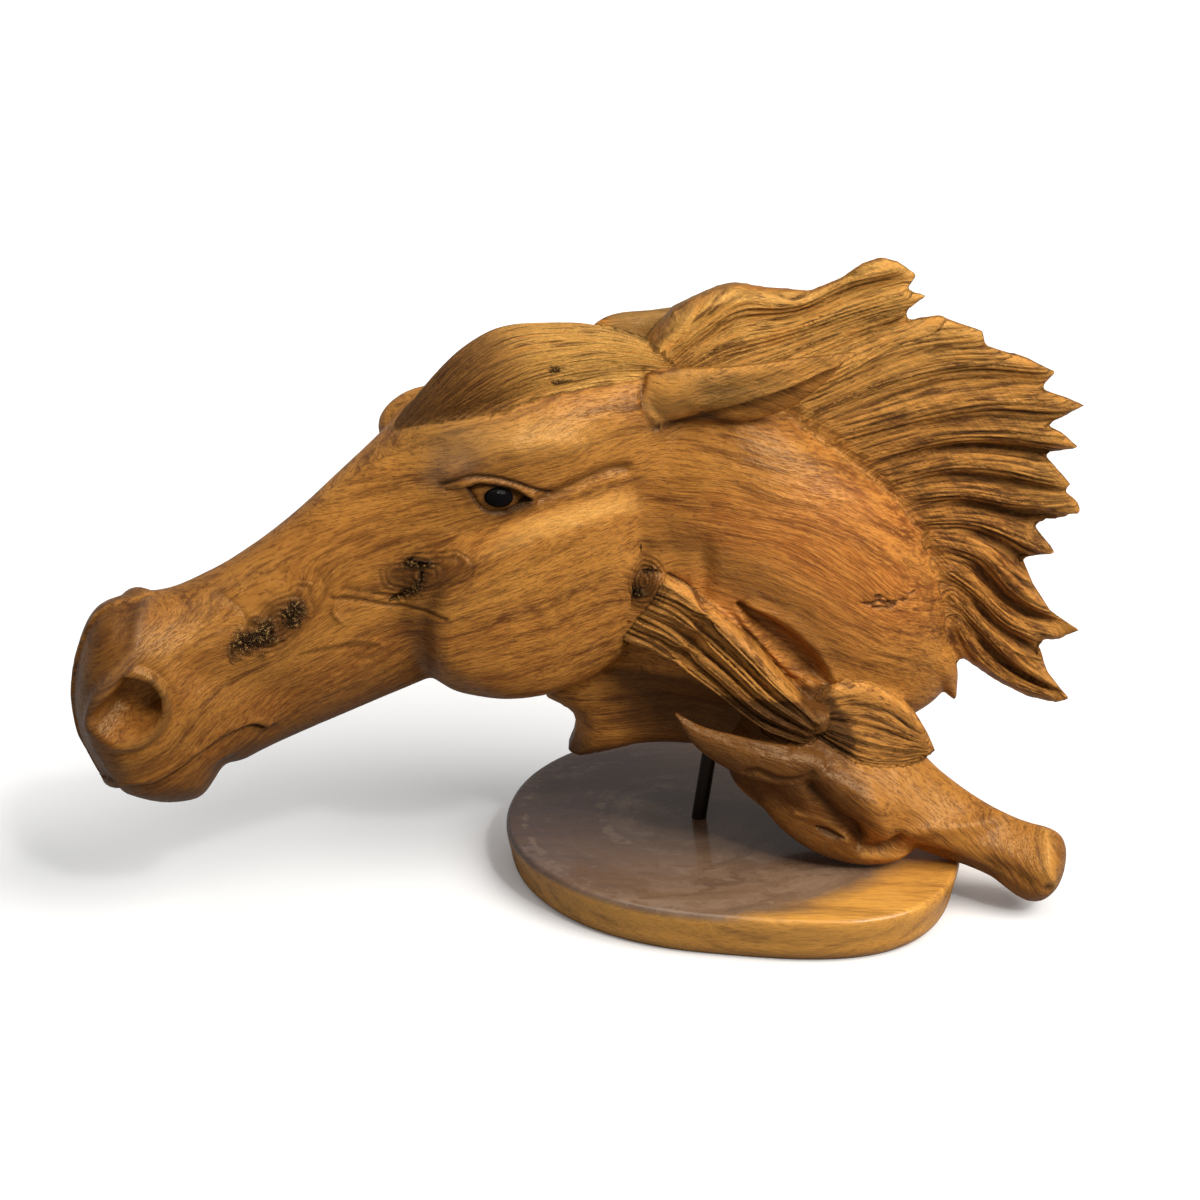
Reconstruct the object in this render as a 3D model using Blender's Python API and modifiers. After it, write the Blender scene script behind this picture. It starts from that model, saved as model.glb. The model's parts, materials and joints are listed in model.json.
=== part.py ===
"""Carved wooden horse's head with a foal's head below it, on a steel rod and a wooden base.

Blender 4.5. The carving is shaped in millimetres by the functions below and written in metres.
+Z is up, +X runs from the horse's muzzle to its mane, and -Y is the side that shows the horse's
left cheek. The origin lies on the base's underside, near its middle.
"""

import math

import bpy
import numpy as np
from mathutils import Matrix, Vector

MM = 0.001

# Base: a slab cut as a rounded square, its sides drawn in towards the floor
BASE_HALF_LENGTH = 116.0
BASE_HALF_DEPTH = 106.0
BASE_CENTRE = (2.5, 0.0)
BASE_THICK = 24.0
BASE_SQUARENESS = 3.2
BASE_SQUARENESS_LEFT = 2.1
BASE_TURN = math.radians(-10)
# The slab's side, from the underside up: height and how far it is drawn in
BASE_PROFILE = (
    (0.0, 6.6), (1.6, 5.0), (12.0, 1.6), (19.2, 0.0), (22.4, 0.6), (BASE_THICK, 2.6),
)

# Rod: it stands in the base and leans a little towards the mane
ROD_RADIUS = 3.75
ROD_FOOT = (-16.9, -2.0, 10.0)
ROD_HEAD = (-7.1, -2.0, 84.0)
FIT_GAP = 0.3

# Horse's head: its own frame runs from the poll (a = 0) along the nose, with d towards the
# forehead and l towards the far cheek
HEAD_YAW = math.radians(18)
HEAD_PITCH = math.radians(22)
HEAD_POLL = (-41.0, 12.0, 215.0)

# Foal's head: the same kind of frame, rolled so that its forehead faces the viewer
FOAL_POLL = (31.0, -46.0, 95.0)
FOAL_NOSE = (163.0, -63.0, 28.0)
FOAL_ROLL = math.radians(32)
VIEW_TILT = math.radians(21)

# The middle plane of the neck and mane
MIDDLE = 12.0

CARVING_VOXEL = 2.0
CARVING_TRIANGLES = 7800


def through(stations):
    """A smooth function through (position, value) pairs, flat beyond its ends."""
    at = np.array([s[0] for s in stations], float)
    value = np.array([s[1] for s in stations], float)
    slope = np.gradient(value, at)

    def curve(x):
        x = np.clip(np.asarray(x, float), at[0], at[-1])
        i = np.clip(np.searchsorted(at, x) - 1, 0, len(at) - 2)
        h = at[i + 1] - at[i]
        t = (x - at[i]) / h
        return (
            value[i] * (1 + 2 * t) * (1 - t) ** 2
            + slope[i] * h * t * (1 - t) ** 2
            + value[i + 1] * t * t * (3 - 2 * t)
            + slope[i + 1] * h * t * t * (t - 1)
        )

    return curve


def evenly(values):
    """A smooth function of a share from 0 to 1 through evenly spaced values."""
    return through(list(zip(np.linspace(0, 1, len(values)), values)))


def smooth_path(points, count):
    """count points along a smooth curve through the given points."""
    points = np.array(points, float)
    steps = np.r_[0, np.cumsum(np.linalg.norm(np.diff(points, axis=0), axis=1))]
    where = np.linspace(0, steps[-1], count)
    columns = [through(list(zip(steps, points[:, k])))(where) for k in range(points.shape[1])]
    return np.stack(columns, axis=1)


def ramp(value, low, high):
    """0 below low, 1 above high, and smooth between."""
    t = np.clip((value - low) / (high - low), 0, 1)
    return t * t * (3 - 2 * t)


def bump(distance, width):
    return np.exp(-((distance / width) ** 2))


def power(value, exponent):
    return np.sign(value) * np.abs(value) ** exponent


def path_distance(points, path):
    """Each point's distance to a path, and how far along the path it lies, from 0 to 1."""
    path = np.array(path, float)
    best = np.full(len(points), np.inf)
    along = np.zeros(len(points))
    lengths = np.linalg.norm(np.diff(path, axis=0), axis=1)
    before = np.r_[0, np.cumsum(lengths)]
    for i, length in enumerate(lengths):
        step = (path[i + 1] - path[i]) / length
        t = np.clip((points - path[i]) @ step, 0, length)
        distance = np.linalg.norm(points - path[i] - t[:, None] * step, axis=1)
        nearer = distance < best
        best[nearer] = distance[nearer]
        along[nearer] = (before[i] + t[nearer]) / before[-1]
    return best, along


def mesh_from_rings(rings):
    """A closed mesh from rings of points, with a fan over each end."""
    rings = np.array(rings, float)
    count, sides, _ = rings.shape
    points = np.concatenate([rings.reshape(-1, 3), rings[0].mean(0)[None], rings[-1].mean(0)[None]])
    faces = []
    first, last = count * sides, count * sides + 1
    for j in range(sides):
        k = (j + 1) % sides
        for i in range(count - 1):
            faces.append((i * sides + j, i * sides + k, (i + 1) * sides + k, (i + 1) * sides + j))
        faces.append((first, k, j))
        faces.append((last, (count - 1) * sides + j, (count - 1) * sides + k))
    return points, faces


class Frame:
    """A head's own frame: a along the nose, d towards the forehead, l towards the far cheek."""

    def __init__(self, origin, along, dorsal):
        self.origin = np.array(origin, float)
        self.along = np.array(along, float) / np.linalg.norm(along)
        dorsal = np.array(dorsal, float) - np.dot(dorsal, self.along) * self.along
        self.dorsal = dorsal / np.linalg.norm(dorsal)
        across = np.cross(self.dorsal, self.along)
        self.far = across if across[1] > 0 else -across

    def world(self, a, d, l):
        a, d, l = np.broadcast_arrays(*(np.asarray(v, float) for v in (a, d, l)))
        return (
            self.origin
            + a[..., None] * self.along
            + d[..., None] * self.dorsal
            + l[..., None] * self.far
        )

    def local(self, points):
        offset = points - self.origin
        return offset @ self.along, offset @ self.dorsal, offset @ self.far


def horse_frame():
    forward = np.array([-math.cos(HEAD_YAW), -math.sin(HEAD_YAW), 0.0])
    up = np.array([0.0, 0.0, 1.0])
    along = math.cos(HEAD_PITCH) * forward - math.sin(HEAD_PITCH) * up
    dorsal = math.sin(HEAD_PITCH) * forward + math.cos(HEAD_PITCH) * up
    return Frame(HEAD_POLL, along, dorsal)


def foal_frame(roll=FOAL_ROLL):
    along = np.array(FOAL_NOSE) - np.array(FOAL_POLL)
    along /= np.linalg.norm(along)
    to_viewer = np.array([0.0, -math.cos(VIEW_TILT), math.sin(VIEW_TILT)])
    to_viewer -= np.dot(to_viewer, along) * along
    to_viewer /= np.linalg.norm(to_viewer)
    upper_edge = np.cross(along, to_viewer)
    if upper_edge[2] < 0:
        upper_edge = -upper_edge
    dorsal = math.cos(roll) * to_viewer + math.sin(roll) * upper_edge
    return Frame(FOAL_POLL, along, dorsal)


# Heads, forelock and cheek as cross-sections: a, top, bottom, half width, level of widest point
HORSE_STATIONS = (
    (-34, 36, -30, 20, 8),
    (-20, 48, -38, 31, 18),
    (0, 58, -46, 39, 26),
    (25, 66, -52, 43, 30),
    (50, 72, -54, 45, 32),
    (75, 74, -54, 45, 34),
    (95, 73, -54, 43, 32),
    (115, 67, -54, 37, 22),
    (140, 60, -52, 31, 10),
    (165, 52.5, -50, 28, 4),
    (190, 47, -48, 27, 4),
    (215, 44.5, -46, 27, 4),
    (238, 46, -45, 30, 6),
    (255, 53, -46, 34, 10),
    (270, 53, -50, 36, 10),
    (284, 42, -45, 34, 6),
    (294, 29, -36, 28, 2),
    (300, 17, -29, 20, -2),
    (304, 4, -20, 9, -6),
)
FORELOCK_STATIONS = (
    (-26, 44, 20, 16, 34),
    (-14, 56, 26, 24, 44),
    (0, 68, 34, 27, 52),
    (20, 79, 40, 29, 60),
    (45, 88, 44, 30, 66),
    (60, 87, 46, 29, 67),
    (82, 80, 50, 24, 66),
    (98, 73, 54, 17, 64),
    (116, 65, 58, 5, 61),
)
FOAL_STATIONS = (
    (-24, -12, -42, 14, -24),
    (-14, -3, -54, 23, -20),
    (4, 2, -60, 29, -18),
    (24, 4, -60, 31.5, -18),
    (42, 4, -54, 31, -16),
    (56, 2, -44, 27, -14),
    (72, -1, -37, 21.5, -14),
    (92, -3, -32, 18, -15),
    (112, -3, -28, 16.5, -14),
    (125, -1, -27, 17, -13),
    (135, 2, -29, 18.5, -12),
    (143, 0, -28, 17.5, -13),
    (148, -6, -25, 13, -15),
    (151, -12, -20, 6, -16),
)

# Cheek: centre (a, d, l), half sizes, and how square its edge is
CHEEK_CENTRE = (80.0, -16.5, 0.0)
CHEEK_HALF = (73.0, 68.5, 46.0)
CHEEK_SQUARENESS = 3.2
# Foal's cheek: centre and half sizes, with d straight towards the viewer
FOAL_CHEEK_AT = (34.5, -9.0, -17.5)
FOAL_CHEEK_HALF = (49.0, 12.0, 34.5)


def head_rings(frame, stations, sides=40, steps=60, roundness=2.4):
    """Cross-sections of a head, from behind the poll to the muzzle."""
    table = np.array(stations, float)
    top, bottom, half, level = (through(list(zip(table[:, 0], table[:, k]))) for k in (1, 2, 3, 4))
    angle = np.linspace(0, 2 * math.pi, sides, endpoint=False)
    rings = []
    for a in np.linspace(table[0, 0], table[-1, 0], steps):
        middle = float(level(a))
        reach = np.where(np.sin(angle) >= 0, float(top(a)) - middle, middle - float(bottom(a)))
        l = float(half(a)) * power(np.cos(angle), 2 / roundness)
        d = middle + reach * power(np.sin(angle), 2 / roundness)
        rings.append(frame.world(a, d, l))
    return rings


def cheek_rings(frame, sides=48, steps=28):
    """A thick disc with rounded edges across the head."""
    rings = []
    angle = np.linspace(0, 2 * math.pi, sides, endpoint=False)
    for across in np.sin(np.linspace(-1.56, 1.56, steps)):
        size = (1 - abs(across) ** CHEEK_SQUARENESS) ** (1 / CHEEK_SQUARENESS)
        a = CHEEK_CENTRE[0] + CHEEK_HALF[0] * size * np.cos(angle)
        d = CHEEK_CENTRE[1] + CHEEK_HALF[1] * size * np.sin(angle)
        rings.append(frame.world(a, d, CHEEK_CENTRE[2] + CHEEK_HALF[2] * across))
    return rings


# Neck as level slices: z, left end, right end, half thickness, middle's y
NECK_STATIONS = (
    (78, 10, 86, 12, 2),
    (85, -30, 98, 22, 4),
    (92, -45, 106, 30, 6),
    (102, -58, 110, 38, 8),
    (125, -66, 109.5, 47, 10),
    (145, -80, 107, 51, 11),
    (169, -96, 99, 53, 12),
    (182, -98, 93, 52, 12),
    (203, -96, 76, 49, 12),
    (222, -90, 51, 43, 12),
    (232, -85, 38, 38, 12),
    (243, -75, 22, 31, 12),
    (256, -60, 6, 20, 12),
    (266, -45, -10, 8, 12),
)
# The neck swells most at this share of its length, this far to the right of it
NECK_SWELL = 0.58
NECK_SWELL_SHIFT = 28.0


def neck_rings(sides=48, steps=50):
    table = np.array(NECK_STATIONS, float)
    left, right, half, middle = (through(list(zip(table[:, 0], table[:, k]))) for k in (1, 2, 3, 4))
    angle = np.linspace(0, 2 * math.pi, sides, endpoint=False)
    rings = []
    for z in np.linspace(table[0, 0], table[-1, 0], steps):
        x0, x1 = float(left(z)), float(right(z))
        swell = NECK_SWELL * x0 + (1 - NECK_SWELL) * x1 + NECK_SWELL_SHIFT
        reach = np.where(np.cos(angle) >= 0, x1 - swell, swell - x0)
        x = swell + reach * power(np.cos(angle), 2 / 2.1)
        y = float(middle(z)) + float(half(z)) * power(np.sin(angle), 2 / 2.2)
        rings.append(np.stack([x, y, np.full_like(x, z)], axis=1))
    return rings


def blade_rings(centre, side, width, thick, sides=24):
    """Lens-shaped rings along a centre line, width to each side of it."""
    tangent = np.gradient(centre, axis=0)
    tangent /= np.linalg.norm(tangent, axis=1)[:, None]
    normal = np.cross(tangent, side)
    normal /= np.linalg.norm(normal, axis=1)[:, None]
    angle = np.linspace(0, 2 * math.pi, sides, endpoint=False)
    rings = []
    for i in range(len(centre)):
        across = width[i] * np.cos(angle)
        depth = thick[i] * np.sin(angle)
        rings.append(centre[i] + across[:, None] * side[i] + depth[:, None] * normal[i])
    return rings


def blade(upper, lower, y, thick, steps=26):
    """A lens-shaped blade between two edges drawn as (x, z), at depths y, with half thickness thick."""
    high, low = smooth_path(upper, steps), smooth_path(lower, steps)
    share = np.linspace(0, 1, steps)
    middle, gap = (high + low) / 2, (high - low) / 2
    width = np.maximum(np.linalg.norm(gap, axis=1), 0.8)
    centre = np.stack([middle[:, 0], evenly(y)(share), middle[:, 1]], axis=1)
    side = np.stack([gap[:, 0], np.zeros(steps), gap[:, 1]], axis=1)
    side[-1] = side[-2]
    side /= np.linalg.norm(side, axis=1)[:, None]
    return mesh_from_rings(blade_rings(centre, side, width, evenly(thick)(share)))


# The far ear stands this far from the near one's mirror image, because the head is turned
FAR_EAR_SHIFT = (-22.0, -16.0, 13.0)
# Brow of the far eye, which shows past the forehead: its place in the head and its half sizes
FAR_BROW_AT = (93.0, 58.0, 31.0)
FAR_BROW_HALF = (21.0, 13.0, 15.0)


def mirrored(mesh, shift=(0.0, 0.0, 0.0)):
    """The same shape on the far side of the middle plane."""
    points, faces = mesh
    points = points * (1, -1, 1) + (0, 2 * MIDDLE, 0) + shift
    return points, [face[::-1] for face in faces]


def pebble_rings(frame, centre, half, sides=28, steps=18):
    rings = []
    angle = np.linspace(0, 2 * math.pi, sides, endpoint=False)
    for turn in np.linspace(-1.5, 1.5, steps):
        a = centre[0] + half[0] * math.cos(turn) * np.cos(angle)
        d = centre[1] + half[1] * math.cos(turn) * np.sin(angle)
        rings.append(frame.world(a, d, centre[2] + half[2] * math.sin(turn)))
    return rings


# Near ear of the horse: its outer leaf, and the inner leaf that shows below its fold
EAR_OUTER = (
    ((-51, 257), (-44, 263), (-17, 267), (2, 269), (25, 272.5), (53, 274.5)),
    ((-51, 246), (-44, 241), (-12, 248), (7, 252), (27, 259), (52, 272.5)),
    (-18, -24, -28, -29, -26), (5, 8, 6, 4, 2),
)
EAR_INNER = (
    ((-42, 255), (-10, 258), (10, 262), (30, 267), (51, 274)),
    ((-44, 238), (-21, 239), (0, 240), (19, 245), (37, 257), (51, 272)),
    (-16, -22, -23, -22), (7, 5, 4, 2),
)

# Mane: its outline as (x, z), from the crest behind the poll round the tips to the neck
MANE_EDGE = (
    (-45, 268), (-42, 273), (-31, 286), (-22, 291), (-10, 296), (-1, 298), (10, 296), (34, 294),
    (48, 300), (58, 307), (67, 310), (75, 308), (85, 301), (80, 295), (89, 293), (80, 286),
    (81, 279), (88, 281), (97, 282), (117, 275), (118, 269), (126, 266), (140, 261), (154, 254),
    (147, 246), (168, 239), (150, 229), (158, 225), (168, 216), (151, 213), (164, 199), (161, 196),
    (169, 189), (170, 185), (164, 180), (152, 178), (148, 177), (160, 163), (143, 161), (150, 146),
    (160, 131), (176, 120), (166, 115), (154, 116), (161, 98), (174, 82), (167, 80), (152, 84),
    (133, 95), (116, 108),
)
MANE_ROOT = ((95, 116), (84, 150), (68, 186), (34, 218), (0, 238), (-40, 248))

# Locks of the mane: each one's middle line as (x, z), from root to tip
MANE_LOCKS = (
    ((-42, 258), (-19, 278), (0, 290), (28, 290), (51, 300), (74, 305)),
    ((-40, 252), (-9, 271), (24, 278), (52, 287), (77, 294)),
    ((-18, 255), (10, 263), (48, 276), (78, 284)),
    ((20, 247), (48, 258), (76, 271), (116, 276)),
    ((30, 238), (67, 253), (105, 261), (148, 257)),
    ((45, 229), (87, 239), (125, 244), (163, 243)),
    ((57, 217), (97, 226), (131, 225), (163, 220)),
    ((70, 207), (103, 213), (132, 210), (160, 202)),
    ((80, 197), (106, 199), (136, 192), (166, 191)),
    ((88, 186), (109, 186), (134, 178), (155, 168)),
    ((96, 175), (118, 169), (140, 146), (173, 125)),
    ((102, 161), (119, 148), (139, 129), (162, 120)),
    ((107, 147), (125, 127), (145, 106), (170, 88)),
    ((110, 134), (121, 116), (140, 98), (164, 86)),
)
MANE_THICK = (20, 17, 13, 9, 6, 3.5)
MANE_RELIEF = (0.5, 2.0, 2.6, 2.6, 1.6)
MANE_WAVE = 3.5
MANE_ROUNDING = 5.0


def lock_field(points, locks):
    """For each point, its place across the locks (1.5 is midway between two) and along them."""
    pairs = [path_distance(points, smooth_path(lock, 24)) for lock in locks]
    distance = np.array([pair[0] for pair in pairs])
    along = np.array([pair[1] for pair in pairs])
    count, rows = len(locks), np.arange(len(points))
    nearest = distance.argmin(axis=0)
    below = np.clip(nearest - 1, 0, count - 1)
    above = np.clip(nearest + 1, 0, count - 1)
    lower = np.where(nearest == below, np.inf, distance[below, rows])
    higher = np.where(nearest == above, np.inf, distance[above, rows])
    other = np.where(lower < higher, below, above)
    first, second = distance[nearest, rows], np.minimum(lower, higher)
    share = first / (first + second)
    across = nearest + np.where(other > nearest, share, -share)
    return across, along[nearest, rows] * (1 - share) + along[other, rows] * share


def fused_points(name, points, faces, voxel):
    """The points and faces of a mesh made anew in cubes of the given size."""
    mesh = bpy.data.meshes.new(name)
    mesh.from_pydata(points.tolist(), [], faces)
    obj = bpy.data.objects.new(name, mesh)
    bpy.context.scene.collection.objects.link(obj)
    remesh = obj.modifiers.new("fuse", "REMESH")
    remesh.mode = "VOXEL"
    remesh.voxel_size = voxel
    fused = bpy.data.meshes.new_from_object(
        obj.evaluated_get(bpy.context.evaluated_depsgraph_get())
    )
    result = mesh_arrays(fused)
    for data in (fused, mesh):
        bpy.data.meshes.remove(data)
    return result


def mesh_arrays(mesh):
    points = np.empty(len(mesh.vertices) * 3)
    mesh.vertices.foreach_get("co", points)
    return points.reshape(-1, 3), [tuple(face.vertices) for face in mesh.polygons]


def sheet(outline, voxel):
    """A flat sheet with an outline given as (x, z), as points, faces and shares from -1 to 1 through it."""
    outline = np.array(outline, float)
    half = 3 * voxel
    count = len(outline)
    front = np.stack([outline[:, 0], np.full(count, -half), outline[:, 1]], axis=1)
    points = np.concatenate([front, front * (1, -1, 1)])
    faces = [tuple(range(count)), tuple(range(2 * count - 1, count - 1, -1))]
    faces += [(i, i + count, (i + 1) % count + count, (i + 1) % count) for i in range(count)]
    points, faces = fused_points("sheet", points, faces, voxel)
    return points, faces, np.clip(points[:, 1] / half, -1, 1)


def rounded_edge(distance, radius):
    """How thick a sheet is at a distance from its edge, as a share, when the edge is round."""
    return np.sqrt(1 - (1 - np.clip(distance / radius, 0.08, 1)) ** 2)


def foal_neck_mesh(voxel):
    points, faces, share = sheet(FOAL_NECK_EDGE, voxel)
    edge = path_distance(points[:, [0, 2]], FOAL_NECK_EDGE)[0]
    middle = through(FOAL_NECK_MIDDLE)(points[:, 0])
    thick = through(FOAL_NECK_THICK)(points[:, 0])
    points[:, 1] = middle + share * thick * rounded_edge(edge, FOAL_NECK_ROUNDING)
    return points, faces


def hair_patch(edge, locks, near, lean, thick, relief, voxel):
    """A layer of carved locks. Its near surface lies at y near(x), moved back by lean for each
    millimetre above HAIR_LEVEL."""
    points, faces, share = sheet(edge, voxel)
    flat = points[:, [0, 2]]
    across, along = lock_field(flat, locks)
    rim = path_distance(flat, edge + edge[:1])[0]
    depth = thick + relief * np.cos(2 * math.pi * across) * ramp(along, 0.05, 0.5)
    middle = through(near)(points[:, 0]) + lean * (points[:, 2] - HAIR_LEVEL) + thick
    points[:, 1] = middle + share * depth * rounded_edge(rim, HAIR_ROUNDING)
    return points, faces


def mane_mesh(voxel):
    """The mane as one sheet of wood: thick at its roots, thin at its tips, swollen at each lock."""
    points, faces, share = sheet(MANE_EDGE + MANE_ROOT, voxel)
    flat = points[:, [0, 2]]
    across, along = lock_field(flat, MANE_LOCKS)
    edge = path_distance(flat, MANE_EDGE)[0]
    thick = evenly(MANE_THICK)(along) + evenly(MANE_RELIEF)(along) * np.cos(2 * math.pi * across)
    wave = MANE_WAVE * np.sin(math.pi * across) * along**2
    points[:, 1] = MIDDLE + wave + share * np.maximum(thick, 2.5) * rounded_edge(edge, MANE_ROUNDING)
    return points, faces


# Foal's neck, under the horse's throat: a thick plate with a hollowed left end, as (x, z)
FOAL_NECK_EDGE = (
    (-93, 91), (-84, 86), (-79, 82), (-77.5, 76), (-79, 68), (-82, 61), (-76, 58), (-62, 61),
    (-47, 65), (-33, 66), (-19, 66), (-8, 62), (10, 56), (40, 62), (58, 90), (40, 120), (0, 134),
    (-50, 130), (-88, 104),
)
# Its middle's y and its half thickness, by x
FOAL_NECK_MIDDLE = ((-90, 4), (-60, 6), (-20, 6), (10, 0), (40, -14), (60, -20))
FOAL_NECK_THICK = ((-90, 16), (-60, 22), (-20, 25), (10, 28), (40, 28), (60, 24))
FOAL_NECK_ROUNDING = 14.0

# Foal's mane and forelock: the outline as (x, z), the middle lines of the locks, the near
# surface's y by x, how far it leans back, its thickness and the depth of its grooves
HAIR_LEVEL = 90.0
HAIR_ROUNDING = 5.0
FOAL_MANE = (
    (
        (-56, 172), (-38, 171), (-24, 164), (-8, 152), (8, 137), (22, 121), (34, 108), (45, 104),
        (44, 94), (30, 87), (12, 94), (-8, 109), (-27, 121), (-46, 130), (-62, 136), (-80, 140),
        (-76, 152),
    ),
    (
        ((-50, 169), (-23, 157), (-2, 140), (16, 122), (38, 101)),
        ((-58, 162), (-29, 149), (-6, 132), (13, 114), (36, 98)),
        ((-66, 154), (-36, 141), (-11, 124), (11, 106), (34, 95)),
        ((-74, 145), (-43, 133), (-16, 117), (9, 99), (32, 91)),
    ),
    ((-80, -24), (-50, -36), (-20, -46), (10, -55), (42, -59)), 0.0, 11.0, 2.2,
)
FOAL_FORELOCK = (
    (
        (34, 104), (42, 111), (52, 114), (64, 114), (78, 106), (86, 102), (93, 91), (98, 80),
        (92, 77), (82, 75), (70, 75), (57, 79), (45, 85), (32, 91),
    ),
    (
        ((38, 104), (60, 108), (79, 101), (93, 88)),
        ((37, 100), (57, 100), (77, 92), (95, 83)),
        ((36, 96), (55, 92), (74, 84), (94, 79)),
        ((36, 92), (52, 85), (68, 79), (90, 76)),
    ),
    ((30, -58), (60, -56), (98, -53)), 0.72, 9.0, 1.6,
)

# Foal's near ear
FOAL_EAR = (
    ((-31, 107), (-18, 100), (1, 95), (20, 91), (40, 86)),
    ((-30, 105), (-21, 90), (-8, 80), (8, 73), (38, 66)),
    (-56, -58, -60, -56), (2, 4, 6, 9),
)
# A small pointed corner low at the back of the neck
NECK_CORNER = (
    ((96, 130), (108, 120), (113, 106), (113.5, 90)),
    ((88, 112), (97, 102), (104, 95), (112, 88)),
    (4, 3, 3, 3), (22, 18, 11, 4),
)


def join(forms):
    """One list of points and faces from several meshes."""
    points, faces, start = [], [], 0
    for these, those in forms:
        points.append(these)
        faces += [tuple(start + i for i in face) for face in those]
        start += len(these)
    return np.concatenate(points), faces


def broad_forms(horse, foal):
    return [
        mesh_from_rings(head_rings(horse, HORSE_STATIONS)),
        mesh_from_rings(cheek_rings(horse)),
        mesh_from_rings(pebble_rings(horse, FAR_BROW_AT, FAR_BROW_HALF)),
        mesh_from_rings(neck_rings()),
        mesh_from_rings(head_rings(foal, FOAL_STATIONS)),
        mesh_from_rings(pebble_rings(foal_frame(0.0), FOAL_CHEEK_AT, FOAL_CHEEK_HALF)),
    ]


def hair_forms(horse, voxel):
    ears = [blade(*EAR_OUTER), blade(*EAR_INNER)]
    return [
        mesh_from_rings(head_rings(horse, FORELOCK_STATIONS)),
        mane_mesh(voxel),
        foal_neck_mesh(voxel),
        *ears,
        *(mirrored(ear, FAR_EAR_SHIFT) for ear in ears),
        hair_patch(*FOAL_MANE, voxel),
        hair_patch(*FOAL_FORELOCK, voxel),
        blade(*FOAL_EAR),
        blade(*NECK_CORNER),
    ]


# Carved lines of the horse's face as (a, d): the step over the cheek, the crease from the eye,
# the brow and the mouth
CHEEK_STEP = ((20, 12), (40, 7), (65, 2), (100, 0), (130, 1))
CREASE = ((66, 23), (52, 21), (36, 20), (24, 20), (14, 18))
BROW = ((98, 50), (86, 54), (72, 52), (58, 45), (44, 39))
MOUTH = ((303, -27), (287, -26), (273, -22), (258, -17), (245, -16), (226, -22))
NOSTRIL_AT = (276.0, 16.0)
NOSTRIL_RADIUS = 16.0
NOSTRIL_DEPTH = 14.0
EYE_AT = (82.5, 32.1)
EYE_TURN = math.radians(32)
EYE_LONG = 18.0
EYE_SHORT = 7.0
EYE_SIDE = 42.0
BEAD_HALF = (7.0, 4.9, 4.0)


def turned(a, d, centre, angle):
    """Coordinates along and across a direction, from a centre."""
    x, y = a - centre[0], d - centre[1]
    return x * math.cos(angle) + y * math.sin(angle), y * math.cos(angle) - x * math.sin(angle)


def carve_horse_face(points, normals, frame):
    """How far each point moves out along its normal, for the face's carved lines."""
    a, d, l = frame.local(points)
    flat = np.stack([a, d], axis=1)
    cheek = ramp(np.abs(l), 12, 22) * ramp(np.sign(l) * (normals @ frame.far), 0.1, 0.5)
    from_centre = np.hypot(a - CHEEK_CENTRE[0], d - CHEEK_CENTRE[1])
    below = through(CHEEK_STEP)(a) - d
    on_cheek = 1 - ramp(from_centre, 52, 66)
    push = (2.6 * ramp(below, -4, 5) - 1.6 * ramp(-below, -3, 6) * ramp(46 - d, 0, 20)) * on_cheek
    push -= 2.6 * bump(path_distance(flat, CREASE)[0], 3.5)
    push += 2.2 * bump(path_distance(flat, BROW)[0], 8)
    behind = ramp(60 - a, 0, 25) * ramp(-22 - d, 0, 18)
    push -= 3.0 * bump(np.abs(from_centre - CHEEK_HALF[0] - 3), 4) * behind
    long, short = turned(a, d, EYE_AT, EYE_TURN)
    eye = np.hypot(long / EYE_LONG, short / EYE_SHORT)
    push -= 2.0 * bump(eye - 1.1, 0.3)
    nostril = np.hypot(a - NOSTRIL_AT[0], d - NOSTRIL_AT[1]) / NOSTRIL_RADIUS
    push += 2.0 * bump(nostril - 1.22, 0.25)
    push -= NOSTRIL_DEPTH * (1 - ramp(nostril, 0.35, 1.08))
    push = push * cheek
    push -= 3.0 * bump(path_distance(flat, MOUTH)[0], 2.6) * ramp(np.abs(l), 4, 10)
    return push


# Hollow of the foal's far ear, which lies back on the horse's neck: its middle line as (x, z)
FAR_EAR = ((45, 112), (34, 124), (19, 139), (0, 155))
FAR_EAR_HALF = (4.0, 8.0, 9.0, 7.0, 2.0)


def carve_far_ear(points, normals):
    distance, along = path_distance(points[:, [0, 2]], smooth_path(FAR_EAR, 20))
    half = evenly(FAR_EAR_HALF)(along)
    near = ramp(-normals[:, 1], 0.1, 0.4)
    rim = 2.4 * bump((distance - half) / 3.5, 1)
    hollow = 5.0 * (1 - ramp(distance / half, 0.1, 1.0)) * ramp(along, 0.02, 0.2)
    return (rim * (1 - ramp(along, 0.9, 1.0)) - hollow) * near


# Foal's face as (x, z), seen from the near side: the hollow of its eye, its brow, the edge
# below its nose and its mouth
FOAL_EYE = ((25, 63), (37, 55), (52, 48))
FOAL_BROW = ((40, 70), (56, 60), (68, 50))
FOAL_NOSE_EDGE = ((84, 50), (100, 47), (125, 46))
FOAL_JAW = ((78, 40), (98, 38), (125, 32))


def carve_foal_face(points, normals):
    flat = points[:, [0, 2]]
    near = ramp(-normals[:, 1], 0.0, 0.4) * ramp(-points[:, 1], 36, 46)
    push = -6.0 * bump(path_distance(flat, FOAL_EYE)[0], 5.5)
    push += 4.5 * bump(path_distance(flat, FOAL_BROW)[0], 9)
    push += 1.2 * bump(path_distance(flat, FOAL_NOSE_EDGE)[0], 4)
    push -= 1.6 * bump(path_distance(flat, FOAL_JAW)[0], 4)
    return push * near


def make_object(name, points, faces, collection):
    mesh = bpy.data.meshes.new(name)
    mesh.from_pydata((points * MM).tolist(), [], faces)
    mesh.update()
    obj = bpy.data.objects.new(name, mesh)
    collection.objects.link(obj)
    return obj


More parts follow.
